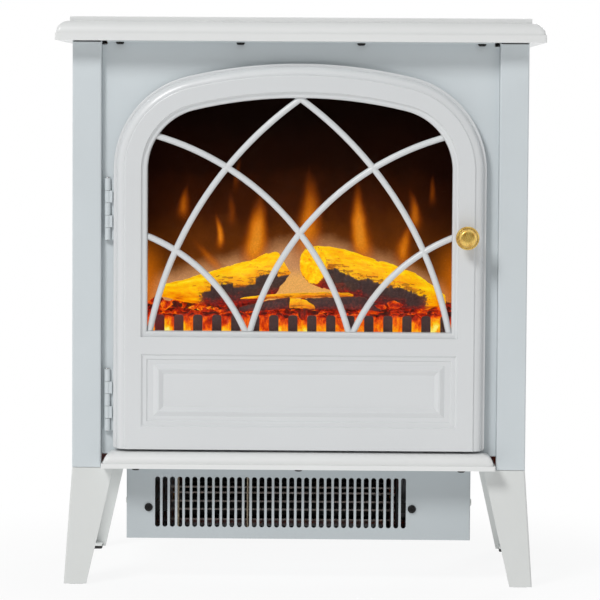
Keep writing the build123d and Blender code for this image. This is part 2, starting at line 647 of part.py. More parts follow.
def lamp_holders():
    """Two lamp holders on feet, facing each other along the back of the fire box."""
    holders = []
    for side in (-1, 1):
        ends = sorted((side * 152, side * 122))
        holder = rod_x(13.5, *ends, LAMP_Y, LAMP_Z)
        foot_x = sorted((side * 150, side * 134))
        holder = holder + block(*foot_x, LAMP_Y - 8, LAMP_Y + 8, SHELF_Z + SHEET, LAMP_Z - 8)
        mouth = sorted((side * 118, side * 140))
        holders.append(holder - rod_x(7.1, *mouth, LAMP_Y, LAMP_Z))
    return holders


def lamp_bulbs():
    """Two small candle bulbs with their screw caps in the holders."""
    profile = Spline((0, 6.6), (14, 15.5), (34, 15.5), (62, 5.0), (74, 0), tangents=((0.4, 1), (0, -1)))
    outline = make_face([profile, Line((74, 0), (0, 0)), Line((0, 0), (0, 6.6))])
    bulb = revolve(outline, Axis.X) + rod_x(7.0, -20, 0.5, 0, 0)
    bulbs = [Pos(-119, LAMP_Y, LAMP_Z) * bulb]
    bulbs.append(Pos(119, LAMP_Y, LAMP_Z) * Rot(0, 0, 180) * bulb)
    return bulbs


EMBER_HALF = 157.0
EMBER_FRONT_Y, EMBER_BACK_Y = -89.0, -13.0
EMBER_SECTION = ((EMBER_FRONT_Y, 264.0), (-72.0, 268.0), (-45.0, 271.0), (EMBER_BACK_Y, 276.0))


def ember_solid(drop):
    """The ember bed's filled shape, its top and ends moved in by drop."""
    low = SHELF_Z + SHEET
    tops = [(y, z - drop) for y, z in EMBER_SECTION]
    tops[0] = (tops[0][0] + drop, tops[0][1])
    tops[-1] = (tops[-1][0] - drop, tops[-1][1])
    outline = [(tops[0][0], low), *tops, (tops[-1][0], low)]
    plane = Plane(origin=(-EMBER_HALF + drop, 0, 0), x_dir=(0, 1, 0), z_dir=(1, 0, 0))
    return extrude(plane * make_face(Polyline(*outline, close=True)), amount=2 * (EMBER_HALF - drop))


def ember_bed():
    """The glowing bed: a thin moulded shell, open below to the light."""
    return ember_solid(0) - ember_solid(2.0)


GRATE_BARS = 16
GRATE_PITCH = 18.5
GRATE_BAR_W = 9.0
GRATE_TOP_Z = 262.0
GRATE_MIDDLE_X = 2.8


def ember_grate():
    """The low fence in front of the embers: bars with rounded corners on a bottom rail."""
    grate = block(-150, 150, -93, -90, SHELF_Z + SHEET, 246)
    for index in range(GRATE_BARS):
        x = GRATE_MIDDLE_X + (index - (GRATE_BARS - 1) / 2) * GRATE_PITCH
        bar = rect_face(x - GRATE_BAR_W / 2, x + GRATE_BAR_W / 2, 240, GRATE_TOP_Z)
        bar = fillet(bar.vertices().group_by(Axis.Y)[-1], 2.7)
        grate = grate + plate_xz(bar, -90, -93)
    return grate


def log_between(start, end, radius_start, radius_end):
    """A tapered round log between two points, resting in the ember bed."""
    axis = Vector(*end) - Vector(*start)
    plane = Plane(origin=start, z_dir=axis)
    near = plane * Circle(radius_start)
    far = plane.offset(axis.length) * Circle(radius_end)
    log = loft([near, far])
    bed = Pos(0, 0, 0.3) * ember_solid(0)
    under = block(-200, 200, -120, 20, 150, SHELF_Z + 6)
    return log - bed - under


LOG_LEFT = ((-143.0, -42.0, 272.0), (-14.0, -46.0, 302.0), 13.0, 18.0)
LOG_RIGHT = ((15.0, -48.0, 310.0), (143.0, -42.0, 276.0), 18.0, 13.0)


# Each charred piece: its middle in x, y and z, its length, depth and height, and its turn about Z
CHARRED_PIECES = (
    (-35.0, -76.0, 270.5, 54.0, 11.0, 9.0, 4.0),
    (40.0, -77.0, 269.5, 72.0, 11.0, 11.0, -4.0),
    (20.0, -67.0, 277.8, 70.0, 10.0, 5.0, 2.0),
)


def log_front():
    """Small charred pieces lying along the front of the embers, the thin one on top of the others."""
    bed = Pos(0, 0, 0.3) * ember_solid(0)
    pieces = []
    for x, y, z, length, depth, height, turn in CHARRED_PIECES:
        stick = Pos(x, y, z) * Rot(0, 0, turn) * Box(length, depth, height)
        pieces.append(stick - bed)
    return pieces


# ---- Controls, behind the lower part of the door ----
PLATE_FRONT_Y = PANEL_Y - 2.6


def control_plate():
    """The control bezel over the opening in the front panel."""
    plate = block(-91, 91, PLATE_FRONT_Y, PANEL_Y - TOUCH / 2, 162, 218)
    plate = fillet(plate.edges().filter_by(Axis.Y), 5)
    plate = fillet(plate.faces().sort_by(Axis.Y)[0].edges(), 0.8)
    for x in ROCKER_X:
        switch_hole = rect_face(x - 7.7, x + 7.7, CONTROL_Z - 10.2, CONTROL_Z + 10.2)
        plate = plate - plate_xz(switch_hole, PANEL_Y + 1, PLATE_FRONT_Y - 1)
    plate = plate - rod_y(3.8, PLATE_FRONT_Y - 1, PANEL_Y + 1, DIAL_X, CONTROL_Z)
    for x in CONTROL_SCREW_X:
        plate = plate - rod_y(SCREW_HOLE_R, PLATE_FRONT_Y - 1, PANEL_Y + 1, x, CONTROL_Z)
    return plate


ROCKER_PIVOT_Y = -98.5
ROCKER_HALF_W, ROCKER_HALF_H = 5.2, 7.8


def switch_bodies():
    """Snap-in switch bodies, each with a front ring and a well for its rocker."""
    bodies = []
    for x in ROCKER_X:
        ring = block(x - 9, x + 9, PLATE_FRONT_Y - 1.5, PLATE_FRONT_Y - 0.02, CONTROL_Z - 12, CONTROL_Z + 12)
        ring = fillet(ring.edges().filter_by(Axis.Y), 1.5)
        body = ring + block(x - 7.5, x + 7.5, PLATE_FRONT_Y - 0.5, -80, CONTROL_Z - 10, CONTROL_Z + 10)
        well_x = (x - ROCKER_HALF_W - 0.4, x + ROCKER_HALF_W + 0.4)
        body = body - block(*well_x, PLATE_FRONT_Y - 3, -91, CONTROL_Z - 9, CONTROL_Z + 9)
        for z in (CONTROL_Z - 6, CONTROL_Z, CONTROL_Z + 6):
            body = body + block(x - 3, x + 3, -80, -73, z - 0.4, z + 0.4)
        bodies.append(body)
    return bodies


def rocker(x, tilt):
    """One rocker key with a shallow V face, set at its resting tilt about its pivot."""
    half = ROCKER_HALF_H
    outline = [(2.5, -4.5), (2.5, 4.5), (-2.0, half), (-5.6, half), (-4.6, 0), (-5.6, -half), (-2.0, -half)]
    face = make_face(Polyline(*outline, close=True))
    plane = Plane(origin=(-ROCKER_HALF_W, 0, 0), x_dir=(0, 1, 0), z_dir=(1, 0, 0))
    key = extrude(plane * face, amount=2 * ROCKER_HALF_W)
    return Pos(x, ROCKER_PIVOT_Y, CONTROL_Z) * Rot(tilt, 0, 0) * key


def thermostat_dial():
    """The round thermostat knob with a grip rim, a pointer groove and its stem."""
    face_y = -110.6
    dial = rod_y(13, face_y, PLATE_FRONT_Y - 0.4, DIAL_X, CONTROL_Z)
    dial = fillet(dial.edges().group_by(Axis.Y)[0], 1.6)
    for index in range(24):
        angle = radians(15 * index)
        x, z = DIAL_X + 13.6 * cos(angle), CONTROL_Z + 13.6 * sin(angle)
        dial = dial - rod_y(1.0, face_y - 1, PLATE_FRONT_Y, x, z)
    dial = dial - block(DIAL_X - 0.7, DIAL_X + 0.7, face_y - 1, face_y + 0.8, CONTROL_Z + 3, CONTROL_Z + 14)
    return dial + rod_y(3.0, PLATE_FRONT_Y - 1, -86, DIAL_X, CONTROL_Z)


def thermostat_body():
    body = rod_y(15, -97.5, -82, DIAL_X, CONTROL_Z)
    body = body + block(DIAL_X - 4, DIAL_X + 4, -82, -74, CONTROL_Z - 9, CONTROL_Z + 9)
    return body - rod_y(3.0 + RUN, -99, -85, DIAL_X, CONTROL_Z)


def cord_gland():
    """The flanged bush in the back panel that the mains lead leaves through."""
    y = BODY_BACK_Y
    gland = rod_y(CORD_HOLE_R - TOUCH, y - 4, y + 4, CORD_X, CORD_Z)
    gland = gland + rod_y(10, y + SHEET + 0.05, y + 4, CORD_X, CORD_Z)
    gland = gland + rod_y(8.6, y - 4, y - TOUCH, CORD_X, CORD_Z)
    return gland - rod_y(CORD_BORE_R, y - 5, y + 5, CORD_X, CORD_Z)


# ---- Door ----
REBATE_INSET = 26.0
REBATE_Y = -112.0
TRACERY_BACK_Y = -107.0
GLASS_BACK_Y = -104.0
KNOB_X, KNOB_Z = 161.0, 340.0
STRIKE_HALF = (6.0, 14.0)


def door_frame():
    """The moulded door: a lip, a quarter-round edge, the window with its rim, and the lower panel."""
    lip = plate_xz(arch_face(0, DOOR_Z0), DOOR_BACK_Y, -109.0)
    lip = fillet(lip.edges().filter_by(Axis.Y).group_by(Axis.Z)[0], 2.5)
    lip = fillet([edge for edge in lip.faces().sort_by(Axis.Y)[0].edges()], 1.0)
    band = fillet(arch_rim(plate_xz(arch_face(3.0, DOOR_Z0), -109.0, DOOR_BAND_Y)), 8.0)
    face = fillet(arch_rim(plate_xz(arch_face(11.0, DOOR_Z0), -112.0, DOOR_FACE_Y)), 1.4)
    door = lip + band + face
    door = door - plate_xz(arch_face(WINDOW_INSET - 6, WINDOW_Z0 - 5.5), -116.2, DOOR_FACE_Y - 1)
    door = door - plate_xz(arch_face(WINDOW_INSET, WINDOW_Z0), DOOR_BACK_Y + 1, DOOR_FACE_Y - 1)
    door = door - plate_xz(arch_face(REBATE_INSET, WINDOW_Z0 - 7), DOOR_BACK_Y + 1, REBATE_Y)
    window_edges = [edge for edge in door.edges() if window_lip_edge(edge)]
    door = fillet(window_edges, 2.6)
    door = door - plate_xz(rect_face(-150, 150, 146, 233), DOOR_BACK_Y + 1, REBATE_Y)
    door = lower_panel(door)
    return door_fixings(door)


def arch_rim(plate):
    """The front edges round a plate's arch and sides, without its straight bottom."""
    return [edge for edge in plate.faces().sort_by(Axis.Y)[0].edges() if edge.center().Z > DOOR_Z0 + 1]


def window_lip_edge(edge):
    """True for the front edges of the window itself, at the bottom of its rim."""
    centre = edge.center()
    on_rim = abs(centre.Y + 116.2) < 0.05
    low_edge = abs(centre.Z - WINDOW_Z0) < 0.3 and abs(centre.X) < 1
    half = DOOR_HALF_W - WINDOW_INSET
    tall_edge = abs(abs(centre.X) - half) < 0.3
    window_arch = centre.Z > WINDOW_Z0 + 150 and hypot(centre.X, centre.Z - 38) < 436 and not tall_edge
    return on_rim and (low_edge or tall_edge or window_arch)


def lower_panel(door):
    """The stepped recess under the window, with a bevelled moulding inside it."""
    door = door - plate_xz(rect_face(-150.8, 150.8, 156.6, 223.8), -117.2, DOOR_FACE_Y - 1, -45)
    door = door - plate_xz(rect_face(-146.2, 146.2, 161.2, 219.6), -116.0, -117.8, -45)
    ridge = plate_xz(rect_face(-140.9, 140.9, 165.0, 215.8), -115.9, -118.7, 58)
    return door + (ridge - plate_xz(rect_face(-130.8, 130.8, 174.4, 206.2), -115.9, -118.8, -56))


def door_fixings(door):
    """Pockets for the hinge leaves and the strike plate, and holes for the screws and the knob."""
    for z0 in HINGE_Z:
        door = door - block(-181, LEAF_X[1] + 0.3, DOOR_BACK_Y - LEAF_T - TOUCH, 0, z0 - 0.4, z0 + 60.4)
    half_w, half_h = STRIKE_HALF
    pocket_x = (CATCH_X - half_w - 0.2, CATCH_X + half_w - 1.0)
    door = door - block(*pocket_x, DOOR_BACK_Y - 1.4, 0, CATCH_Z - half_h - 0.2, CATCH_Z + half_h + 0.2)
    for x, z in LEAF_SCREWS:
        door = door - rod_y(LEAF_SHANK_R + RUN, DOOR_BACK_Y - 10, 0, x + 2, z)
    door = door - rod_y(4.2, DOOR_BACK_Y - 1.6, 0, KNOB_X, KNOB_Z)
    return door - rod_y(SCREW_HOLE_R, -125, -95, KNOB_X, KNOB_Z)


def tracery_radii():
    return [TRACERY_R0 + TRACERY_STEP * index for index in range(3)]


def tracery_crown(side, radius):
    """The half-round front of one ring of the tracery, whole, about its centre beside the window."""
    half = TRACERY_BAR_W / 2 - 0.1
    section = [
        Line((radius - half, TRACERY_FLAT - 0.6), (radius + half, TRACERY_FLAT - 0.6)),
        Line((radius + half, TRACERY_FLAT - 0.6), (radius + half, TRACERY_FLAT)),
        ThreePointArc((radius + half, TRACERY_FLAT), (radius, TRACERY_T), (radius - half, TRACERY_FLAT)),
        Line((radius - half, TRACERY_FLAT), (radius - half, TRACERY_FLAT - 0.6)),
    ]
    ring = revolve(make_face(Wire(section)), Axis.Y)
    return Pos(side * TRACERY_CENTRE[0], TRACERY_BACK_Y, TRACERY_CENTRE[1]) * Rot(180, 0, 0) * ring


def window_tracery():
    """Gothic tracery: rings about a centre on each side, crossing in one plane inside a thin border."""
    outline = arch_face(REBATE_INSET + 0.4, WINDOW_Z0 - 6.6)
    bars = outline - arch_face(WINDOW_INSET, WINDOW_Z0)
    half = TRACERY_BAR_W / 2
    for side in (-1, 1):
        for radius in tracery_radii():
            ring = Circle(radius + half) - Circle(radius - half)
            ring = Pos(side * TRACERY_CENTRE[0], TRACERY_CENTRE[1]) * ring
            bars = bars + (ring & outline)
    tracery = plate_xz(bars, TRACERY_BACK_Y, TRACERY_BACK_Y - TRACERY_FLAT)
    opening = arch_face(WINDOW_INSET + 0.2, WINDOW_Z0 + 0.2)
    room = plate_xz(opening, TRACERY_BACK_Y, TRACERY_BACK_Y - TRACERY_T - 1)
    for side in (-1, 1):
        for radius in tracery_radii():
            tracery = tracery + (tracery_crown(side, radius) & room)
    return tracery


def window_glass():
    return plate_xz(arch_face(REBATE_INSET + 0.6, WINDOW_Z0 - 6.4), GLASS_BACK_Y, TRACERY_BACK_Y + 0.1)


def glass_clips():
    """Small cranked clips that hold the glass in the back of the door, at its sides and its bottom."""
    crank_y = (GLASS_BACK_Y + 0.1, DOOR_BACK_Y + 1.0)
    plate_y = (DOOR_BACK_Y + 0.05, DOOR_BACK_Y + 1.0)
    clips = []
    for side in (-1, 1):
        plate_x = sorted((side * 148, side * 160))
        reach_x = sorted((side * 148, side * 153.2))
        for z in (280, 322):
            clips.append(block(*plate_x, *plate_y, z - 8, z + 8) + block(*reach_x, *crank_y, z - 8, z + 8))
        bottom_x = (side * 60 - 8, side * 60 + 8)
        clips.append(block(*bottom_x, *plate_y, 236.6, 246.6) + block(*bottom_x, *crank_y, 242.8, 246.6))
    return clips


def door_knob():
    """A turned brass pull: a foot, a waist and a flat-domed head with a bead."""
    length = DOOR_FACE_Y - KNOB_TIP_Y - 0.02
    profile = [
        Line((0, 0), (6.5, 0)),
        Line((6.5, 0), (6.5, 1.5)),
        Spline((6.5, 1.5), (4.0, 5.5), (4.6, 10.0), (9.4, 13.0)),
        ThreePointArc((9.4, 13.0), (11.3, 15.0), (10.2, 17.4)),
        Line((10.2, 17.4), (9.2, 17.4)),
        Spline((9.2, 17.4), (8.2, 20.2), (0, length), tangents=((0.1, 1), (-1, 0))),
        Line((0, length), (0, 0)),
    ]
    knob = revolve(make_face(Wire(profile)), Axis.Y)
    knob = Pos(KNOB_X, DOOR_FACE_Y - 0.02, KNOB_Z) * Rot(180, 0, 0) * knob
    return knob - rod_y(SCREW_HOLE_R, DOOR_FACE_Y - 11, DOOR_FACE_Y + 1, KNOB_X, KNOB_Z)


def strike_plate():
    half_w, half_h = STRIKE_HALF
    return block(CATCH_X - half_w, CATCH_X + half_w - 1.2, -102.2, -100.9, CATCH_Z - half_h, CATCH_Z + half_h)


def magnet_catch():
    low, high = CATCH_Z - 17.8, CATCH_Z + 17.8
    case = block(CATCH_X - 3.8, CATCH_X + 3.8, -100.3, -86, low, high)
    return case + block(CATCH_X - 5.5, CATCH_X + 9, PANEL_Y + SHEET + 0.05, -94, low, high)


# ---- Hinges ----
def knuckle(z0, index):
    """One hinge knuckle with its bore."""
    low = z0 + index * KNUCKLE_H + KNUCKLE_GAP / 2
    ring = rod_z(KNUCKLE_R, low, low + KNUCKLE_H - KNUCKLE_GAP, HINGE_X, HINGE_Y)
    return ring - rod_z(PIN_R + RUN, low - 1, low + KNUCKLE_H + 1, HINGE_X, HINGE_Y)


def leaf(z0, first, y0, y1, tongue_y, screw_dx):
    """One hinge leaf: a flat plate and every second knuckle from the first, on tongues from tongue_y."""
    plate = block(*LEAF_X, y0, y1, z0, z0 + KNUCKLES * KNUCKLE_H)
    bore = rod_z(PIN_R + RUN, z0 - 1, z0 + 70, HINGE_X, HINGE_Y)
    for index in range(first, KNUCKLES, 2):
        low = z0 + index * KNUCKLE_H + KNUCKLE_GAP / 2
        tongue = block(HINGE_X, LEAF_X[0] + 1, tongue_y, y1, low, low + KNUCKLE_H - KNUCKLE_GAP)
        plate = plate + knuckle(z0, index) + (tongue - bore)
    for x, z in LEAF_SCREWS:
        if z0 < z < z0 + 60:
            plate = plate - rod_y(2.6, y0 - 1, y1 + 1, x + screw_dx, z)
    return plate


def hinge_frame_leaves():
    return [leaf(z0, 0, PANEL_Y - LEAF_T, PANEL_Y - 0.02, PANEL_Y - LEAF_T, 0) for z0 in HINGE_Z]


def hinge_door_leaves():
    return [leaf(z0, 1, DOOR_BACK_Y - LEAF_T, DOOR_BACK_Y, HINGE_Y - 2.4, 2) for z0 in HINGE_Z]


def hinge_pins():
    """Two pins with small domed ends."""
    pins = []
    for z0 in HINGE_Z:
        z1 = z0 + KNUCKLES * KNUCKLE_H
        pin = rod_z(PIN_R, z0 - 0.4, z1 + 0.4, HINGE_X, HINGE_Y)
        head = rod_z(2.4, z1 + 0.1, z1 + 0.9, HINGE_X, HINGE_Y)
        pins.append(pin + fillet(head.edges().group_by(Axis.Z)[-1], 0.6))
    return pins


def hinge_frame_rivets():
    """Flush rivets through the frame leaves and the front panel."""
    rivets = []
    for x, z in LEAF_SCREWS:
        rivet = rod_y(2.5, PANEL_Y - LEAF_T, PANEL_Y - 0.05, x, z)
        rivet = rivet + rod_y(LEAF_SHANK_R, PANEL_Y - 0.5, PANEL_Y + SHEET + 1.0, x, z)
        rivets.append(rivet + rod_y(2.2, PANEL_Y + SHEET + 0.02, PANEL_Y + SHEET + 1.0, x, z))
    return rivets


def hinge_door_screws():
    """Flush screws through the door leaves into the door."""
    screws = []
    for x, z in LEAF_SCREWS:
        screw = rod_y(2.5, DOOR_BACK_Y - LEAF_T, DOOR_BACK_Y, x + 2, z)
        screws.append(screw + rod_y(LEAF_SHANK_R, DOOR_BACK_Y - 9, DOOR_BACK_Y - 1, x + 2, z))
    return screws


# ---- Fasteners ----
def black_screws():
    """The dark pan-head screws that show: under the mantel, under the ledge and on the heater's front."""
    screws = [pan_screw_up(x, MANTEL_SCREW_Y, MANTEL_Z - SHEET, 11) for x in MANTEL_SCREW_X]
    screws += [pan_screw_up(x, y, BASE_Z, 10) for x, y in LEDGE_SCREWS]
    screws += [pan_screw_y(x, HOUSING_Y0, z, 6, -1) for x, z in HOUSING_SCREWS]
    return screws


def cabinet_screws():
    """The plain screws of the cabinet: mantel sides, back panel, legs and heater housing."""
    screws = [pan_screw_up(x, y, MANTEL_Z - SHEET, 11) for x, y in SIDE_TOP_SCREWS]
    screws += [pan_screw_y(x, BODY_BACK_Y + SHEET, z, 8, 1) for x, z in BACK_SCREWS]
    screws += [pan_screw_up(x, y, LEG_H - 3, 10) for x, y in leg_screw_points()]
    screws += [pan_screw_up(x, y, HOUSING_TOP - SHEET, 8) for x, y in HOUSING_TOP_SCREWS]
    for side in (-1, 1):
        screws += [pan_screw_x(side * HOUSING_HALF_W, y, z, 5, side) for y, z in SIDE_SCREW_YZ]
    return screws


def control_screws():
    return [pan_screw_y(x, PLATE_FRONT_Y, CONTROL_Z, 6.0, -1) for x in CONTROL_SCREW_X]


def knob_screw():
    """The screw that holds the knob, driven from behind the door."""
    screw = rod_y(SCREW_R, DOOR_FACE_Y - 10, DOOR_BACK_Y - 1, KNOB_X, KNOB_Z)
    head = rod_y(3.8, DOOR_BACK_Y - 1.55, DOOR_BACK_Y - 0.2, KNOB_X, KNOB_Z)
    return screw + head


def main():
    os.makedirs("parts", exist_ok=True)
    save("mantel_top", mantel_top())
    save("hearth_ledge", hearth_ledge())
    save("side_panel_left", side_panel(-1))
    save("side_panel_right", side_panel(1))
    save("front_panel", front_panel())
    save("back_panel", back_panel())
    save("base_plate", base_plate())
    for name, x, y, sx, sy in leg_corners():
        save(name, leg(x, y, sx, sy))
    save("foot_pads", [foot_pad(x, y, sx, sy) for _, x, y, sx, sy in leg_corners()])
    save("heater_housing", heater_housing())
    save("element_frame", element_frame())
    save("mica_supports", mica_supports())
    save("heating_wires", heating_wires())
    save("blower_rotor", blower_rotor())
    save("blower_shaft", blower_shaft())
    save("blower_scroll", blower_scroll())
    save("blower_motor", blower_motor())
    save("thermal_cutout", thermal_cutout())
    save("firebox_shelf", firebox_shelf())
    save("firebox_liner", firebox_liner())
    save("flame_screen", flame_screen())
    save("flame_cutout_sheet", flame_cutout_sheet())
    save("spindle_shaft", spindle_shaft())
    save("spindle_reflectors", spindle_reflectors())
    save("spindle_motor", spindle_motor())
    save("bearing_bushes", [*blower_bearings(), spindle_bearing()])
    save("lamp_holders", lamp_holders())
    save("lamp_bulbs", lamp_bulbs())
    save("ember_bed", ember_bed())
    save("ember_grate", ember_grate())
    save("log_left", log_between(*LOG_LEFT))
    save("log_right", log_between(*LOG_RIGHT))
    save("log_front", log_front())
    save("control_plate", control_plate())
    save("switch_bodies", switch_bodies())
    save("rocker_flame", rocker(ROCKER_X[0], -ROCKER_TILT))
    save("rocker_low_heat", rocker(ROCKER_X[1], ROCKER_TILT))
    save("rocker_high_heat", rocker(ROCKER_X[2], ROCKER_TILT))
    save("thermostat_dial", thermostat_dial())
    save("thermostat_body", thermostat_body())
    save("cord_gland", cord_gland())
    save("magnet_catch", magnet_catch())
    save("door_frame", door_frame())
    save("window_tracery", window_tracery())
    save("window_glass", window_glass())
    save("glass_clips", glass_clips())
    save("door_knob", door_knob())
    save("knob_screw", knob_screw())
    save("strike_plate", strike_plate())
    save("hinge_frame_leaves", hinge_frame_leaves())
    save("hinge_door_leaves", hinge_door_leaves())
    save("hinge_pins", hinge_pins())
    save("hinge_frame_rivets", hinge_frame_rivets())
    save("hinge_door_screws", hinge_door_screws())
    save("black_screws", black_screws())
    save("cabinet_screws", cabinet_screws())
    save("control_screws", control_screws())


main()
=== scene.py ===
import json
import random
from math import cos, exp, floor, pi, radians, sin

import bmesh
import bpy
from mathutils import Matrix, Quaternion, Vector, noise


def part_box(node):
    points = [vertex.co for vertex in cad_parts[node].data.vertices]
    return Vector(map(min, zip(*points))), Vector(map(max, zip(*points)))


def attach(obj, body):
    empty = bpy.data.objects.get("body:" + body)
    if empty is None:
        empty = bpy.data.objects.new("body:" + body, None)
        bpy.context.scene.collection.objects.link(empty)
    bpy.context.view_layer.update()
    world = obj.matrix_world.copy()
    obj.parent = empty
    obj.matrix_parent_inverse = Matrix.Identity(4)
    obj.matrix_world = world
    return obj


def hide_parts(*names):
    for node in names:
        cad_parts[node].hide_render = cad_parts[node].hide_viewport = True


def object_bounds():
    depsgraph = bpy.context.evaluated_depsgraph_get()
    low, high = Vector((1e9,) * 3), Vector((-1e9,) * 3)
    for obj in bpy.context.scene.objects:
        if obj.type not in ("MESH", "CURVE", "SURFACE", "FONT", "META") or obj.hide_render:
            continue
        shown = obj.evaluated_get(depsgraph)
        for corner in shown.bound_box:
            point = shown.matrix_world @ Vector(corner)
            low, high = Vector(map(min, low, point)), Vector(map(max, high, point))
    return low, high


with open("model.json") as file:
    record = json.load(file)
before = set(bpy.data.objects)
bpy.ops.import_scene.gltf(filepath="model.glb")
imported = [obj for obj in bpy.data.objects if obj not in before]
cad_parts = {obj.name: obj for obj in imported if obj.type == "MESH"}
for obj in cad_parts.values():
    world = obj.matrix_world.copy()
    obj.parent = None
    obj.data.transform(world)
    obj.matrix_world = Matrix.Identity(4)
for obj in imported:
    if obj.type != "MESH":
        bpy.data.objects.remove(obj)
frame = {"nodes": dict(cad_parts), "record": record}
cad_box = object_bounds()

# The looks of a white stove-style electric fireplace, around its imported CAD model.
# Everything is in metres; shapes are worked out in millimetres and scaled by MM.
MM = 0.001
BED_LOW, BED_HIGH = [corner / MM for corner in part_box("ember_bed")]
# The fire's tables are in millimetres: x from the ember bed's middle, y from its front, z from its foot
FIRE = Vector(((BED_LOW.x + BED_HIGH.x) / 2, BED_LOW.y, BED_LOW.z))


# ---- Colours and shader building ----
def srgb(red, green, blue):
    """A screen colour, 0 to 255 each, as the linear colour that shaders take."""
    linear = []
    for value in (red, green, blue):
        value = value / 255
        linear.append(value / 12.92 if value <= 0.04045 else ((value + 0.055) / 1.055) ** 2.4)
    return (*linear, 1.0)


def shade(colour, factor):
    """A colour made lighter or darker."""
    return (*[channel * factor for channel in colour[:3]], 1.0)


class Shader:
    """One material, with short ways to add nodes to it and to link them."""

    def __init__(self, name, colour, roughness=0.5, **values):
        self.material = bpy.data.materials.new(name)
        self.material.use_nodes = True
        self.tree = self.material.node_tree
        self.bsdf = self.tree.nodes["Principled BSDF"]
        self.bsdf.inputs["Base Color"].default_value = colour
        self.bsdf.inputs["Roughness"].default_value = roughness
        for socket, value in values.items():
            self.bsdf.inputs[socket.replace("_", " ")].default_value = value
        self.place = self.add("ShaderNodeTexCoord").outputs["Object"]
        self.relief = None

    def add(self, kind, inputs=(), **settings):
        node = self.tree.nodes.new(kind)
        for name, value in settings.items():
            setattr(node, name, value)
        for name, value in dict(inputs).items():
            self.feed(node.inputs[name], value)
        return node

    def feed(self, socket, value):
        if isinstance(value, bpy.types.NodeSocket):
            self.tree.links.new(value, socket)
        else:
            socket.default_value = value

    def shaded(self, name, value):
        """Feeds one of the shader's own inputs."""
        self.feed(self.bsdf.inputs[name], value)

    def math(self, operation, first, second=0.0):
        return self.add("ShaderNodeMath", {0: first, 1: second}, operation=operation).outputs[0]

    def stretched(self, scale):
        """The object's own coordinates, scaled along each axis."""
        return self.add("ShaderNodeMapping", {"Vector": self.place, "Scale": scale}).outputs[0]

    def noise(self, size_mm, detail=2.0, roughness=0.5, place=None):
        """Noise whose lumps are about size_mm across."""
        inputs = {"Vector": place or self.place, "Scale": 1 / (size_mm * MM), "Detail": detail}
        inputs["Roughness"] = roughness
        return self.add("ShaderNodeTexNoise", inputs).outputs["Fac"]

    def cells(self, size_mm):
        """The distance from the middles of cells about size_mm across."""
        inputs = {"Vector": self.place, "Scale": 1 / (size_mm * MM)}
        return self.add("ShaderNodeTexVoronoi", inputs).outputs["Distance"]

    def spread(self, value, low, high, to_low=0.0, to_high=1.0, smooth=False):
        """Maps low..high to to_low..to_high, clamped."""
        inputs = {"Value": value, "From Min": low, "From Max": high}
        inputs.update({"To Min": to_low, "To Max": to_high})
        kind = "SMOOTHSTEP" if smooth else "LINEAR"
        return self.add("ShaderNodeMapRange", inputs, interpolation_type=kind).outputs[0]

    def ramp(self, value, stops):
        """A colour ramp through (position, colour) stops."""
        node = self.add("ShaderNodeValToRGB", {"Fac": value})
        elements = node.color_ramp.elements
        elements[0].position, elements[0].color = stops[0]
        elements[1].position, elements[1].color = stops[-1]
        for position, colour in stops[1:-1]:
            elements.new(position).color = colour
        return node.outputs["Color"]

    def mixed(self, factor, first, second):
        """A colour between two others."""
        inputs = {0: factor, 6: first, 7: second}
        return self.add("ShaderNodeMix", inputs, data_type="RGBA").outputs[2]

    def attribute(self, name):
        return self.add("ShaderNodeAttribute", attribute_name=name).outputs["Fac"]

    def bump(self, height, depth_mm):
        """Adds relief of that depth on top of what is there."""
        inputs = {"Height": height, "Distance": depth_mm * MM, "Strength": 1.0}
        if self.relief:
            inputs["Normal"] = self.relief
        self.relief = self.add("ShaderNodeBump", inputs).outputs[0]
        self.shaded("Normal", self.relief)

    def mottle(self, colour, size_mm, amount):
        """A base colour that drifts a little lighter and darker over the surface."""
        drift = self.spread(self.noise(size_mm, 3.0), 0.3, 0.7)
        darker, lighter = shade(colour, 1 - amount), shade(colour, 1 + amount)
        self.shaded("Base Color", self.mixed(drift, darker, lighter))

    def gloss(self, size_mm, low, high):
        """Uneven roughness between two values."""
        self.shaded("Roughness", self.spread(self.noise(size_mm, 4.0, 0.6), 0.3, 0.7, low, high))


# ---- Materials ----
def painted_sheet(name, colour, grain_mm, depth_mm, low, high):
    """Powder coat: a fine even grain with a faint drift of colour and gloss."""
    s = Shader(name, colour)
    s.mottle(colour, 45, 0.012)
    s.gloss(30, low, high)
    s.bump(s.noise(grain_mm, 2.0, 0.6), depth_mm)
    s.bump(s.noise(grain_mm * 14, 1.0), depth_mm * 2.5)
    return s.material


def moulded_lacquer(name, colour):
    """A smooth moulding under satin lacquer, with a little orange peel and fine rub marks."""
    s = Shader(name, colour, Coat_Weight=0.25, Coat_Roughness=0.18)
    s.mottle(colour, 80, 0.01)
    rubbed = s.noise(9, 5.0, 0.7, s.stretched((0.25, 1.0, 1.6)))
    s.shaded("Roughness", s.spread(rubbed, 0.35, 0.7, 0.3, 0.42))
    s.bump(s.noise(2.2, 2.0), 0.02)
    return s.material


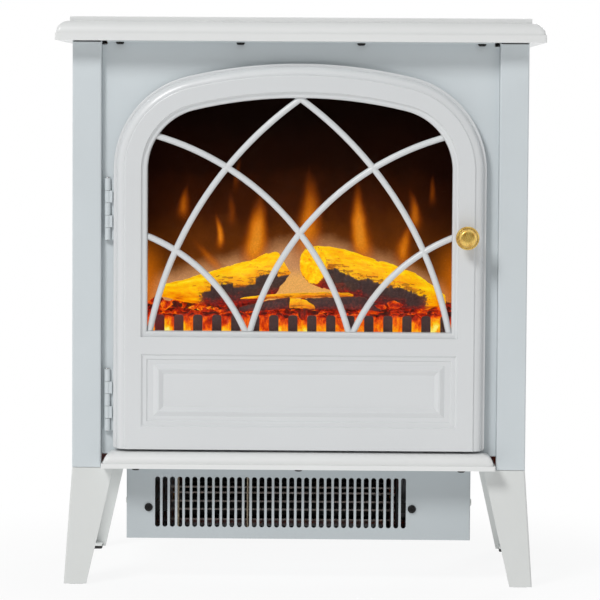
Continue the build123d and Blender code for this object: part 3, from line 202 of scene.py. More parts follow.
def brass(name):
    """Polished, lacquered brass with lathe rings, fine scratches and some tarnish in patches."""
    bright, dull = srgb(238, 200, 104), srgb(196, 148, 58)
    s = Shader(name, bright, 0.2, Metallic=0.6, Coat_Weight=0.4, Coat_Roughness=0.12)
    patches = s.spread(s.noise(5, 5.0, 0.65), 0.42, 0.66)
    s.shaded("Base Color", s.mixed(patches, bright, dull))
    scratches = s.noise(0.5, 4.0, 0.7, s.stretched((1.0, 1.0, 0.12)))
    s.shaded("Roughness", s.spread(scratches, 0.3, 0.75, 0.2, 0.38))
    knob_low, knob_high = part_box("door_knob")
    middle = (knob_low + knob_high) / 2
    centred = s.add("ShaderNodeVectorMath", {0: s.place, 1: middle}, operation="SUBTRACT").outputs[0]
    inputs = {"Vector": centred, "Scale": 260.0, "Distortion": 0.4, "Detail": 2.0}
    rings = s.add("ShaderNodeTexWave", inputs, wave_type="RINGS", rings_direction="Y").outputs["Fac"]
    s.bump(rings, 0.012)
    s.bump(s.noise(4, 3.0), 0.12)
    return s.material


def clear_glass(name, tint, wave_mm=0.02):
    """Glass with a faint wave in its surface and a trace of dust in its gloss."""
    s = Shader(name, tint, 0.0, IOR=1.45, Transmission_Weight=1.0)
    s.shaded("Roughness", s.spread(s.noise(25, 5.0, 0.7), 0.45, 0.8, 0.0, 0.05))
    s.bump(s.noise(70, 1.0), wave_mm)
    return s.material


def metal(name, colour, low, high, along=(0.06, 1.0, 1.0), scratch_mm=0.35):
    """Bare or plated steel, brushed along one axis, with a cloudy sheen."""
    s = Shader(name, colour, 0.3, Metallic=1.0)
    s.mottle(colour, 12, 0.08)
    brushed = s.noise(scratch_mm, 4.0, 0.7, s.stretched(along))
    s.shaded("Roughness", s.spread(brushed, 0.3, 0.72, low, high))
    s.bump(brushed, 0.006)
    return s.material


def black_oxide(name):
    """Blackened screw steel, a little worn to brown on its high spots."""
    s = Shader(name, srgb(26, 26, 27), 0.42, Metallic=0.6)
    worn = s.spread(s.noise(1.1, 4.0, 0.7), 0.52, 0.72)
    s.shaded("Base Color", s.mixed(worn, srgb(22, 22, 23), srgb(58, 55, 52)))
    s.gloss(0.8, 0.3, 0.55)
    s.bump(s.noise(0.4, 3.0), 0.01)
    return s.material


def plastic(name, colour, low, high, grain_mm=0.5, depth_mm=0.015):
    """Moulded plastic with a spark-eroded grain."""
    s = Shader(name, colour)
    s.mottle(colour, 14, 0.05)
    s.gloss(3, low, high)
    s.bump(s.noise(grain_mm, 3.0, 0.6), depth_mm)
    return s.material


def rubber(name):
    s = Shader(name, srgb(44, 44, 45), 0.8)
    dusty = s.spread(s.noise(4, 5.0, 0.7), 0.45, 0.75)
    s.shaded("Base Color", s.mixed(dusty, srgb(40, 40, 41), srgb(70, 68, 65)))
    s.bump(s.noise(0.7, 3.0), 0.03)
    return s.material


def heat_black(name):
    """Matt high-temperature paint with a soft texture and a trace of soot."""
    s = Shader(name, srgb(26, 18, 15), 0.8, Specular_IOR_Level=0.1)
    soot = s.spread(s.noise(22, 5.0, 0.65), 0.35, 0.7)
    s.shaded("Base Color", s.mixed(soot, srgb(18, 13, 11), srgb(36, 25, 20)))
    s.bump(s.noise(0.9, 3.0), 0.03)
    return s.material


def mica_board(name):
    """Layered mica: speckled silvery brown with flaky relief."""
    s = Shader(name, srgb(176, 158, 128), 0.45)
    flakes = s.noise(1.6, 5.0, 0.75, s.stretched((1.0, 1.0, 0.4)))
    stops = ((0.3, srgb(120, 98, 72)), (0.5, srgb(176, 158, 130)), (0.7, srgb(206, 196, 174)))
    s.shaded("Base Color", s.ramp(flakes, stops))
    s.shaded("Roughness", s.spread(flakes, 0.3, 0.7, 0.28, 0.6))
    s.bump(flakes, 0.05)
    return s.material


def oxidised_wire(name):
    """Heating wire: grey oxide with straw and rose heat tints."""
    s = Shader(name, srgb(196, 190, 188), 0.45, Metallic=0.35)
    stops = ((0.3, srgb(186, 172, 166)), (0.5, srgb(214, 208, 204)), (0.7, srgb(222, 202, 192)))
    s.shaded("Base Color", s.ramp(s.noise(7, 3.0), stops))
    s.bump(s.noise(0.3), 0.01)
    return s.material


def dark_grate(name):
    """Dark brown heat-resistant paint with painted glow: a dim brown glow all over and a red glow
    towards its left end, by the ember bed's hottest spot.
    """
    s = Shader(name, srgb(76, 58, 56), 0.6, Emission_Strength=1.0)
    grain = s.noise(1.4, 4.0, 0.6)
    s.shaded("Base Color", s.mixed(grain, srgb(62, 46, 46), srgb(92, 70, 66)))
    low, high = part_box("ember_grate")
    # Painted glow: the grate emits dim brown light all over, and red light near its left end, in place
    # of the fire's light falling on it.
    x = s.add("ShaderNodeSeparateXYZ", {0: s.place}).outputs["X"]
    painted_red_glow = s.spread(x, low.x + 0.008, low.x + 0.05, 1.0, 0.0, smooth=True)
    mixed = s.mixed(painted_red_glow, srgb(46, 33, 33), srgb(108, 20, 26))
    s.shaded("Emission Color", s.mixed(s.spread(grain, 0.35, 0.7), mixed, srgb(54, 38, 38)))
    s.bump(grain, 0.04)
    return s.material


# ---- The fire's own light ----
def flame_group():
    """A node group for one flame: a bowed tapering tongue between its foot and its tip."""
    group = bpy.data.node_groups.new("flame_tongue", "ShaderNodeTree")
    names = ("x", "z", "foot x", "foot z", "tip x", "tip z", "bow", "half width", "strength")
    for name in names:
        group.interface.new_socket(name=name, in_out="INPUT", socket_type="NodeSocketFloat")
    group.interface.new_socket(name="glow", in_out="OUTPUT", socket_type="NodeSocketFloat")
    given = group.nodes.new("NodeGroupInput")
    result = group.nodes.new("NodeGroupOutput")

    def calc(operation, first, second=0.0, clamp=False):
        node = group.nodes.new("ShaderNodeMath")
        node.operation = operation
        node.use_clamp = clamp
        for socket, value in zip(node.inputs, (first, second)):
            if isinstance(value, str):
                group.links.new(given.outputs[value], socket)
            elif isinstance(value, bpy.types.NodeSocket):
                group.links.new(value, socket)
            else:
                socket.default_value = value
        return node.outputs[0]

    def step(value, low, high):
        node = group.nodes.new("ShaderNodeMapRange")
        node.interpolation_type = "SMOOTHSTEP"
        node.inputs["From Min"].default_value = low
        node.inputs["From Max"].default_value = high
        group.links.new(value, node.inputs["Value"])
        return node.outputs[0]

    rise = calc("DIVIDE", calc("SUBTRACT", "z", "foot z"), calc("SUBTRACT", "tip z", "foot z"))
    along = calc("MULTIPLY", rise, 1.0, clamp=True)
    left = calc("SUBTRACT", 1.0, along)
    lean = calc("MULTIPLY", calc("SUBTRACT", "tip x", "foot x"), along)
    bend = calc("MULTIPLY", calc("MULTIPLY", along, left), calc("MULTIPLY", "bow", 4.0))
    middle = calc("ADD", calc("ADD", "foot x", lean), bend)
    taper = calc("ADD", calc("POWER", left, 0.6), 0.12)
    width = calc("MULTIPLY", "half width", taper)
    away = calc("DIVIDE", calc("ABSOLUTE", calc("SUBTRACT", "x", middle)), width)
    core = step(away, 1.7, 0.0)
    ends = calc("MULTIPLY", step(rise, -0.12, 0.42), step(rise, 1.15, 0.55))
    fading = calc("SUBTRACT", 1.0, calc("MULTIPLY", along, 0.4))
    glow = calc("MULTIPLY", calc("MULTIPLY", core, ends), calc("MULTIPLY", fading, "strength"))
    group.links.new(glow, result.inputs[0])
    return group


# Each flame on the screen: foot x and z, tip x and z, sideways bow, half width, strength
FLAMES = (
    (-116, 113, -116, 149, -2, 6.0, 0.62),
    (-62, 141, -60, 179, 0, 3.5, 0.26),
    (-67, 105, -67, 143, 0, 5.0, 0.34),
    (-79, 83, -84, 121, 3, 5.0, 0.95),
    (-44, 59, -40, 141, -2, 12.5, 1.1),
    (5, 67, 8, 163, 2, 13.0, 0.85),
    (66, 63, 55, 153, -2, 11.0, 1.05),
    (101, 65, 112, 115, -4, 8.5, 0.85),
    (113, 101, 109, 145, 4, 6.5, 0.7),
    (131, 129, 130, 161, 0, 3.5, 0.36),
    (-72, 57, -108, 95, 0, 9.0, 0.62),
)
# The line of the logs' tops on the screen, x and z, across its whole width of twice CREST_HALF
LOG_CREST = ((-160, 33), (-137, 49), (-60, 69), (-20, 80), (20, 84), (91, 66), (142, 38), (160, 27))
CREST_HALF, CREST_SCALE = 160.0, 500.0


def flame_light(name):
    """The frosted screen with the flames on it, the haze over the logs and the dark above."""
    s = Shader(name, srgb(8, 3, 2), 0.6, Emission_Strength=1.0, Specular_IOR_Level=0.08)
    axes = s.add("ShaderNodeSeparateXYZ", {0: s.place})
    sway = s.spread(s.noise(46, 3.0, 0.55, s.stretched((1.0, 1.0, 0.5))), 0.25, 0.75, -5.0, 5.0)
    true_x = s.math("SUBTRACT", s.math("MULTIPLY", axes.outputs["X"], 1 / MM), FIRE.x)
    x = s.math("ADD", true_x, sway)
    z = s.math("SUBTRACT", s.math("MULTIPLY", axes.outputs["Z"], 1 / MM), FIRE.z)
    from_middle = s.math("ABSOLUTE", true_x)
    group = flame_group()
    glow = None
    for flame in FLAMES:
        node = s.add("ShaderNodeGroup", node_tree=group)
        for socket, value in zip(node.inputs, (x, z, *flame)):
            s.feed(socket, value)
        glow = node.outputs[0] if glow is None else s.math("MAXIMUM", glow, node.outputs[0])
    crest_stops = []
    for crest_x, crest_z in LOG_CREST:
        grey = crest_z / CREST_SCALE
        crest_stops.append(((crest_x + CREST_HALF) / (2 * CREST_HALF), (grey, grey, grey, 1.0)))
    across = s.spread(true_x, -CREST_HALF, CREST_HALF)
    crest = s.math("MULTIPLY", s.ramp(across, crest_stops), CREST_SCALE)
    smoke = s.noise(30, 4.0, 0.6)
    above = s.math("ADD", s.math("SUBTRACT", z, crest), s.math("MULTIPLY", smoke, 14.0))
    haze = s.spread(above, 2.0, 29.0, 1.0, 0.0, smooth=True)
    dark = s.ramp(
        s.spread(s.math("ADD", z, s.math("MULTIPLY", smoke, 50.0)), 73.0, 243.0),
        (
            (0.0, srgb(150, 82, 22)),
            (0.22, srgb(104, 50, 10)),
            (0.45, srgb(62, 24, 5)),
            (0.7, srgb(26, 7, 2)),
            (1.0, srgb(8, 2, 1)),
        ),
    )
    sides = s.spread(from_middle, 95.0, 165.0, 1.0, 0.25, smooth=True)
    dark = s.mixed(sides, srgb(14, 3, 2), dark)
    behind = s.mixed(haze, dark, srgb(214, 154, 104))
    edge = s.spread(from_middle, 128.0, 158.0, smooth=True)
    low_corners = s.math("MULTIPLY", edge, s.spread(z, 108.0, 48.0, smooth=True))
    behind = s.mixed(low_corners, behind, srgb(214, 110, 12))
    flame_colour = s.ramp(
        glow,
        (
            (0.0, srgb(110, 44, 6)),
            (0.35, srgb(176, 82, 8)),
            (0.65, srgb(222, 120, 16)),
            (1.0, srgb(242, 154, 42)),
        ),
    )
    seen = s.mixed(s.spread(glow, 0.0, 0.75), behind, flame_colour)
    under_logs = s.spread(z, 69.0, 55.0, smooth=True)
    gap = s.math("MULTIPLY", under_logs, s.spread(from_middle, 50.0, 85.0, 1.0, 0.0, smooth=True))
    seen = s.mixed(gap, seen, srgb(246, 180, 98))
    dots = s.cells(1.7)
    seen = s.mixed(s.spread(dots, 0.25, 0.62), seen, s.mixed(0.86, (0, 0, 0, 1), seen))
    s.shaded("Emission Color", seen)
    s.bump(dots, 0.05)
    return s.material


EMBER_STOPS = (
    (0.0, srgb(30, 16, 14)),
    (0.22, srgb(84, 18, 14)),
    (0.42, srgb(190, 34, 8)),
    (0.6, srgb(244, 96, 8)),
    (0.78, srgb(255, 160, 8)),
    (0.92, srgb(255, 208, 20)),
    (1.0, srgb(255, 240, 120)),
)


def glowing_coals(name):
    """Embers: from black crust through red and orange to near white, by each point's own heat."""
    s = Shader(name, srgb(40, 24, 20), 0.75, Emission_Strength=1.0)
    streaks = s.noise(4, 5.0, 0.75, s.stretched((1.0, 1.0, 0.5)))
    heat = s.math("ADD", s.attribute("hotness"), s.spread(streaks, 0.25, 0.75, -0.3, 0.3))
    s.shaded("Emission Color", s.ramp(heat, EMBER_STOPS))
    s.shaded("Base Color", s.mixed(streaks, srgb(30, 18, 16), srgb(80, 40, 28)))
    s.bump(s.noise(2, 5.0, 0.7), 0.4)
    return s.material


def burning_wood(name):
    """Wood lit from within: yellow bark with orange grain, black char, and red along its hot edge."""
    s = Shader(name, srgb(60, 40, 26), 0.7, Emission_Strength=1.0)
    grain = s.noise(7, 6.0, 0.7, s.stretched((0.3, 1.0, 1.5)))
    fleck = s.noise(2.4, 4.0, 0.75)
    glow = s.math("MULTIPLY", s.attribute("lit"), 0.62)
    bark = s.ramp(
        s.math("ADD", glow, s.spread(grain, 0.25, 0.75, -0.18, 0.4)),
        (
            (0.12, srgb(196, 92, 4)),
            (0.3, srgb(240, 150, 2)),
            (0.52, srgb(254, 190, 2)),
            (0.7, srgb(255, 214, 10)),
            (0.9, srgb(255, 234, 70)),
        ),
    )
    lines = s.noise(3.2, 3.0, 0.6, s.stretched((0.22, 1.0, 1.6)))
    near_char = s.spread(s.attribute("edge"), 0.0, 1.0, 0.0, 0.16)
    cracks = s.spread(s.math("ADD", lines, near_char), 0.62, 0.7)
    bark = s.mixed(s.math("MULTIPLY", cracks, 0.75), bark, srgb(120, 52, 8))
    specks = s.spread(s.math("ADD", fleck, near_char), 0.68, 0.74)
    bark = s.mixed(s.math("MULTIPLY", specks, 0.85), bark, srgb(84, 36, 12))
    char = s.ramp(fleck, ((0.3, srgb(40, 30, 32)), (0.55, srgb(66, 52, 50)), (0.8, srgb(96, 62, 52))))
    red = s.ramp(fleck, ((0.3, srgb(58, 28, 32)), (0.5, srgb(112, 26, 26)), (0.66, srgb(214, 52, 26))))
    char = s.mixed(s.attribute("red"), char, red)
    border = s.math("ADD", s.attribute("char"), s.spread(fleck, 0.25, 0.75, -0.34, 0.34))
    seen = s.mixed(s.spread(border, 0.44, 0.54), bark, char)
    s.shaded("Emission Color", seen)
    s.shaded("Base Color", s.mixed(s.attribute("char"), srgb(150, 90, 30), srgb(30, 24, 24)))
    s.bump(grain, 0.8)
    s.bump(fleck, 0.35)
    return s.material


ENAMEL = srgb(233, 234, 233)
SHEET_WHITE = srgb(207, 214, 217)

MATERIALS = {
    "satin_enamel": moulded_lacquer("satin_lacquer", ENAMEL),
    "moulded_white": moulded_lacquer("moulded_white", srgb(219, 221, 222)),
    "sheet_white": painted_sheet("powder_coat_sheet", SHEET_WHITE, 0.9, 0.018, 0.42, 0.54),
    "leg_white": painted_sheet("powder_coat_legs", srgb(219, 221, 219), 0.8, 0.015, 0.36, 0.48),
    "brass": brass("polished_brass"),
    "window_glass": clear_glass("window_glass", (1, 1, 1, 1)),
    "screen_acrylic": flame_light("flames_on_screen"),
    "black_steel": black_oxide("black_oxide"),
    "zinc_steel": metal("zinc_plate", srgb(198, 199, 196), 0.26, 0.48, (1.0, 1.0, 1.0), 1.2),
    "bright_steel": metal("ground_steel", srgb(210, 210, 210), 0.16, 0.34),
    "liner_black": heat_black("fire_box_black"),
    "reflector": metal("rolled_aluminium", srgb(226, 224, 218), 0.14, 0.36, (0.05, 1.0, 1.0), 0.5),
    "mica": mica_board("mica_board"),
    "nichrome": oxidised_wire("heating_wire"),
    "motor_steel": metal("motor_laminations", srgb(128, 128, 132), 0.34, 0.58, (3.0, 0.05, 0.05), 0.5),
    "black_plastic": plastic("black_plastic", srgb(34, 34, 35), 0.42, 0.6),
    "red_plastic": plastic("red_plastic", srgb(178, 30, 22), 0.2, 0.34, 1.2, 0.006),
    "white_plastic": plastic("white_plastic", srgb(214, 213, 208), 0.34, 0.5),
    "rubber": rubber("foot_rubber"),
    "bronze_bush": metal("sintered_bronze", srgb(178, 128, 74), 0.38, 0.6, (1.0, 1.0, 1.0), 0.4),
    "ember_resin": glowing_coals("glowing_coals"),
    "log_resin": burning_wood("burning_wood"),
    "grate_brown": dark_grate("grate_brown"),
    "bulb_glass": clear_glass("bulb_glass", srgb(255, 244, 226), 0.05),
}
# A darker copy of the sheet paint for the heater housing: painted shade for the shadow under the hearth
# ledge.
SHADED_HOUSING_SHEET = painted_sheet("powder_coat_housing_painted_shade", srgb(186, 193, 196), 0.9, 0.018, 0.42, 0.54)


def dress_cad_nodes():
    """Gives every CAD node the material of its slot; the heater housing gets a darker copy of the sheet
    paint, painted shade for the shadow it sits in under the hearth ledge.
    """
    for part in frame["record"]["subparts"]:
        node = frame["nodes"][part["node"]]
        node.data.materials.clear()
        housing = part["node"] == "heater_housing"
        node.data.materials.append(SHADED_HOUSING_SHEET if housing else MATERIALS[part["material_slot"]])


# ---- Mesh helpers ----
def add_piece(name, mesh, slot, body="cabinet", replaces=()):
    """Puts a finished mesh in the scene, in its slot's material, on its body."""
    mesh.materials.append(MATERIALS[slot])
    piece = bpy.data.objects.new(name, mesh)
    bpy.context.scene.collection.objects.link(piece)
    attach(piece, body)
    if replaces:
        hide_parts(*replaces)
    return piece


def grid_faces(rows, columns, closed=False):
    """Quads between rows of points, each row closed into a ring or open."""
    faces = []
    for row in range(rows - 1):
        for column in range(columns if closed else columns - 1):
            after = (column + 1) % columns
            low, high = row * columns, (row + 1) * columns
            faces.append((low + column, low + after, high + after, high + column))
    return faces


def mesh_from(name, points_mm, faces, attributes=()):
    """A smooth mesh from points in millimetres, with named values at its points."""
    mesh = bpy.data.meshes.new(name)
    mesh.from_pydata([Vector(point) * MM for point in points_mm], [], faces)
    for label, values in dict(attributes).items():
        layer = mesh.attributes.new(label, "FLOAT", "POINT")
        layer.data.foreach_set("value", values)
    mesh.polygons.foreach_set("use_smooth", [True] * len(mesh.polygons))
    mesh.update()
    return mesh


def lumps(point, size, seed=0.0):
    """Smooth noise, about -1 to 1, in lumps of that size in millimetres."""
    return noise.noise(Vector(point) / size + Vector((seed, seed * 1.7, -seed)))


def between(stations, t):
    """The values at t of 0 to 1 along evenly numbered stations, eased through each."""
    place = t * (len(stations) - 1)
    index = min(int(place), len(stations) - 2)
    share = place - index
    before, after = stations[max(index - 1, 0)], stations[min(index + 2, len(stations) - 1)]
    start, end = stations[index], stations[index + 1]
    blended = []
    for p0, p1, p2, p3 in zip(before, start, end, after):
        curve = 2 * p1 + (p2 - p0) * share + (2 * p0 - 5 * p1 + 4 * p2 - p3) * share**2
        curve += (3 * p1 - p0 - 3 * p2 + p3) * share**3
        blended.append(curve / 2)
    return blended


# ---- Logs ----
LOG_ROWS, LOG_COLUMNS, CAP_RINGS = 150, 96, 9
# Stations along each log, left to right: x, y, z of its middle, its radius
LEFT_LOG = (
    (-138, 51, 45, 5.5),
    (-110, 49, 45.5, 12),
    (-80, 47, 49, 17.5),
    (-52, 45, 54, 20.5),
    (-26, 43, 62.5, 21.5),
    (-11, 41, 65, 17),
)
RIGHT_LOG = (
    (13, 39, 72, 18.5),
    (36, 40, 66.5, 21.5),
    (62, 42, 58.5, 22.5),
    (90, 44, 51, 20.5),
    (117, 46, 44, 17),
    (143, 49, 36.5, 6),
)
# Turns round a log count from the front, upwards
SPLIT_TURN = radians(-45)
SPLIT_DENT = 0.55
CHAR_TOP, CHAR_FOOT, RED_TOP = radians(6), radians(-150), radians(-32)
CHAR_STEP = 11


def log_point(stations, t, turn, split, slants, steps, seed):
    """One point of a log's surface, and how charred, red, lit and near the char it is.

    t runs along the log and turn round it; split is how far the log is split flat there. slants holds,
    for each end, how far its front and its top and bottom lean out. steps is how many degrees the
    border of the char goes up and down by.
    """
    x, y, z, radius = between(stations, t)
    out = Vector((0, -cos(turn), sin(turn)))
    from_split = turn - SPLIT_TURN
    depth = 1 - split * max(0.0, cos(from_split)) ** 0.5 * SPLIT_DENT
    flat = cos(SPLIT_TURN) / max(cos(from_split), cos(SPLIT_TURN))
    reach = radius * (1 + (flat - 1) * split * depth)
    along = Vector((x * 0.3, y, z)) + out * reach
    bark = 1.3 * lumps(along, 9, seed) + 0.8 * lumps(along, 3.2, seed) + 0.35 * lumps(along, 1.3, seed)
    ledge = 1.1 if lumps((x * 0.5, y + turn * 9, z), 7, seed + 3) > 0.1 else 0.0
    reach += (bark + ledge * split) * min(1.0, radius / 12)
    shift = 0.0
    for (front, top), near in zip(slants, (max(0, 1 - t * 5), max(0, 1 - (1 - t) * 5))):
        shift += (front * -out.y + top * abs(out.z)) * near
    point = Vector((x + shift * radius, y, z)) + out * reach
    block = floor(point.x / CHAR_STEP) * CHAR_STEP
    step_up = radians(steps) * (1 if lumps((block, 0, 0), 6, seed + 6) > 0 else -1)
    jag = 0.3 * lumps((point.x, point.y * 0.5, point.z), 8, seed + 5)
    jag = 2.6 * (jag + 0.16 * lumps(point, 2.2, seed + 6))
    upper = (CHAR_TOP + step_up - turn) / radians(9) + jag
    lower = (turn - CHAR_FOOT) / radians(16)
    charred = max(0.0, min(1.0, upper, lower)) * split
    red = max(0.0, min(1.0, (RED_TOP - turn) / radians(40) + jag)) * min(1.0, charred * 2)
    lit = 0.5 + 0.32 * out.z + 0.3 * bark / 1.6
    edge = max(0.0, 1 + min(0.0, upper) / 3.5) * split
    return point, {"char": charred, "red": red, "lit": lit, "edge": edge}


def build_log(name, node, stations, split_span, slants, end_char, steps, seed):
    """A tapered log with bark, a charred flat along its lower front and cut ends.

    split_span is where along it the flat starts and stops, and end_char how charred the cut ends are.
    """
    stations = [(*(Vector(station[:3]) + FIRE), station[3]) for station in stations]
    points, values = [], {"char": [], "red": [], "lit": [], "edge": []}
    for row in range(LOG_ROWS):
        t = row / (LOG_ROWS - 1)
        share = max(0.0, min(1.0, (t - split_span[0]) / 0.12, (split_span[1] - t) / 0.12))
        for column in range(LOG_COLUMNS):
            turn = 2 * pi * column / LOG_COLUMNS - pi
            point, looks = log_point(stations, t, turn, share, slants, steps, seed)
            points.append(point)
            for label, value in looks.items():
                values[label].append(value)
    faces = [face[::-1] for face in grid_faces(LOG_ROWS, LOG_COLUMNS, closed=True)]
    for first, outward in ((0, -1), ((LOG_ROWS - 1) * LOG_COLUMNS, 1)):
        rim = points[first:first + LOG_COLUMNS]
        middle = sum(rim, Vector()) / LOG_COLUMNS
        rim_char = values["char"][first:first + LOG_COLUMNS]
        last_ring = first
        for ring in range(1, CAP_RINGS):
            share = 1 - (ring - 0.8) / CAP_RINGS
            ring_start = len(points)
            for column, edge in enumerate(rim):
                point = middle.lerp(edge, share)
                point.x += 0.9 * lumps(point, 4, seed + 9) + 0.5 * sin(share * 26)
                points.append(point)
                values["char"].append(rim_char[column] * end_char if ring > 1 else 0.5)
                values["lit"].append(0.72 + 0.4 * lumps(point, 2.5, seed + 8))
            for column in range(LOG_COLUMNS):
                after = (column + 1) % LOG_COLUMNS
                quad = (last_ring + column, last_ring + after, ring_start + after, ring_start + column)
                faces.append(quad if outward > 0 else quad[::-1])
            last_ring = ring_start
        centre = len(points)
        points.append(middle)
        values["char"].append(0.0)
        values["lit"].append(0.8)
        for column in range(LOG_COLUMNS):
            after = (column + 1) % LOG_COLUMNS
            tri = (last_ring + column, last_ring + after, centre)
            faces.append(tri if outward > 0 else tri[::-1])
    for label in ("red", "edge"):
        values[label] += [0.0] * (len(points) - len(values[label]))
    mesh = mesh_from(name, points, faces, values)
    return add_piece(name, mesh, "log_resin", replaces=(node,))


# ---- Ember bed ----
BED_STEP = 1.6
BED_WALL_ROWS = 14
BED_INSET = 1.5
BED_FRONT_DROP, BED_BACK_DROP = 13, 2
# Bright places along the bed's front: x and strength
HOT_SPOTS = ((-131, 0.6), (-112, 0.25), (-93, 0.12), (7, 0.2), (22, 0.15), (128, 0.5))


def bed_height(x, y):
    """The bed's upper surface, and how near to a coal's middle: a slope of coals with grooves."""
    front_z, back_z = BED_HIGH.z - BED_FRONT_DROP, BED_HIGH.z - BED_BACK_DROP
    slope = front_z + (back_z - front_z) * (y - BED_LOW.y) / (BED_HIGH.y - BED_LOW.y)
    distances, _ = noise.voronoi(Vector((x / 10, y / 8, 3.3)))
    coal = 1 - min(1.0, distances[0] * 1.5)
    return slope - 4.5 + 7.0 * coal + 1.2 * lumps((x, y, 0), 4, 2.0), coal


def bed_heat(x, z, coal, on_top):
    """How hot the bed looks: hottest low on its front, cooler up it, dark on top of the coals."""
    rise = (z - BED_LOW.z) / (BED_HIGH.z - BED_FRONT_DROP - BED_LOW.z)
    heat = 0.84 - 0.44 * rise if not on_top else 0.5 - 0.5 * coal
    heat += 0.26 * lumps((x, 0, z * 0.7), 13, 7.0) + 0.16 * lumps((x, 5, z), 5, 8.0)
    for spot_x, strength in HOT_SPOTS:
        heat += strength * exp(-((x - FIRE.x - spot_x) / 7) ** 2) * max(0.0, 1.1 - rise)
    return heat


def build_ember_bed():
    """The glowing bed: a lumpy top over a wavy front wall, closed at its ends, back and bottom."""
    low, high = BED_LOW, BED_HIGH
    columns = int((high.x - low.x) / BED_STEP)
    points, heats = [], []
    top_rows = int((high.y - low.y) / BED_STEP)
    rows = BED_WALL_ROWS + top_rows + 2
    for row in range(rows):
        inner = row - BED_WALL_ROWS
        on_top = inner >= 0
        inward = (high.y - low.y - 2 * BED_INSET) * min(max(inner, 0), top_rows) / top_rows
        for column in range(columns + 1):
            x = low.x + (high.x - low.x) * column / columns
            y = low.y + BED_INSET + inward
            top, coal = bed_height(x, y)
            z = top if on_top else low.z + (top - low.z) * row / BED_WALL_ROWS
            if not on_top:
                y += 1.1 * lumps((x, 0, z), 6, 4.0)
            if row == rows - 1 or column in (0, columns):
                z = low.z
            points.append(Vector((x, y, z)))
            heats.append(bed_heat(x, z, coal, on_top))
    faces = grid_faces(rows, columns + 1)
    mesh = mesh_from("ember_bed_glow", points, faces, {"hotness": heats})
    cleaned = bmesh.new()
    cleaned.from_mesh(mesh)
    bmesh.ops.remove_doubles(cleaned, verts=cleaned.verts, dist=0.02 * MM)
    border = [edge for edge in cleaned.edges if edge.is_boundary]
    bmesh.ops.holes_fill(cleaned, edges=border, sides=0)
    bmesh.ops.recalc_face_normals(cleaned, faces=cleaned.faces)
    cleaned.to_mesh(mesh)
    cleaned.free()
    return add_piece("ember_bed_glow", mesh, "ember_resin", replaces=("ember_bed",))


def chunk(maker, middle, size, heat_layer, heats, rng, flat=0.75):
    """Adds one broken lump: the hull of random points in a flattened ball."""
    verts = []
    for _ in range(16):
        turn, tip = rng.uniform(0, 2 * pi), rng.uniform(-1, 1)
        out = Vector((cos(turn) * (1 - tip**2) ** 0.5, sin(turn) * (1 - tip**2) ** 0.5, tip * flat))
        vert = maker.verts.new((Vector(middle) + Vector([a * b for a, b in zip(out, size)])) * MM)
        vert[heat_layer] = rng.uniform(*heats)
        verts.append(vert)
    hull = bmesh.ops.convex_hull(maker, input=verts)
    unused = hull["geom_interior"] + hull["geom_unused"]
    spare = {item for item in unused if isinstance(item, bmesh.types.BMVert)}
    bmesh.ops.delete(maker, geom=list(spare), context="VERTS")


COALS = 150
# Larger lumps: the middle, the half sizes, and the range of heat over each
HOT_LUMPS = (
    ((-130, 5, 34), (6.5, 4, 8), (0.36, 0.66)),
    ((-120, 7, 34), (6, 4, 6), (0.02, 0.3)),
    ((-105, 5, 31.5), (4.5, 3, 3), (0.3, 0.95)),
    ((-97, 4.5, 30.5), (3.5, 3, 2.6), (0.3, 1.0)),
    ((-89, 5, 31.5), (3.5, 3, 3), (0.25, 0.9)),
    ((-82, 4.5, 30.5), (3, 3, 2.4), (0.3, 0.8)),
    ((3.2, -1.6, 26), (4.6, 1.6, 8), (0.18, 0.3)),
    ((93, 9, 35), (9, 5, 6), (0.3, 0.7)),
    ((78, 8, 33), (7, 5, 5), (0.3, 0.65)),
)


def build_coals():
    """Loose coals and chips over the bed, darkest on the ridge and hottest at the front edge."""
    rng = random.Random(11)
    low, high = BED_LOW, BED_HIGH
    maker = bmesh.new()
    heat_layer = maker.verts.layers.float.new("hotness")
    for index in range(COALS):
        x = low.x + 6 + (high.x - low.x - 12) * (index + rng.random()) / COALS
        front = index % 3 != 0
        y = rng.uniform(low.y + 5, low.y + 13) if front else rng.uniform(low.y + 14, high.y - 12)
        z = bed_height(x, y)[0] + 0.5
        width = rng.uniform(3.0, 6.5)
        size = (width * rng.uniform(0.8, 1.5), width * 0.7, width * rng.uniform(0.45, 0.75))
        heats = (0.2, 0.62) if front and index % 4 else (0.0, 0.35)
        chunk(maker, (x, y, z), size, heat_layer, heats, rng)
    for middle, size, heats in HOT_LUMPS:
        chunk(maker, Vector(middle) + FIRE, size, heat_layer, heats, rng)
    mesh = bpy.data.meshes.new("ember_coals")
    maker.to_mesh(mesh)
    maker.free()
    return add_piece("ember_coals", mesh, "ember_resin")


# ---- Charred pieces along the front ----
# Each: stations along it as (x, low z, high z), its front and back y, how charred, how red
FRONT_PIECES = (
    (((-60, 28, 31.5), (-32, 29, 38), (-9, 30, 42)), (7, 19), 1.0, 0.15),
    (((3, 29, 40), (30, 30, 42), (61, 30, 42), (80, 29, 32)), (6, 18), 1.0, 0.1),
    (((-58, 39, 40.5), (-20, 40, 44.4), (20, 41.4, 46), (52, 42.4, 45.4)), (15, 27), 0.0, 0.0),
    (((-10, 31, 42), (3, 31, 40.5), (15, 31, 33.5)), (2, 5.6), 0.0, 0.0),
)
FRONT_ROWS, FRONT_COLUMNS = 60, 28


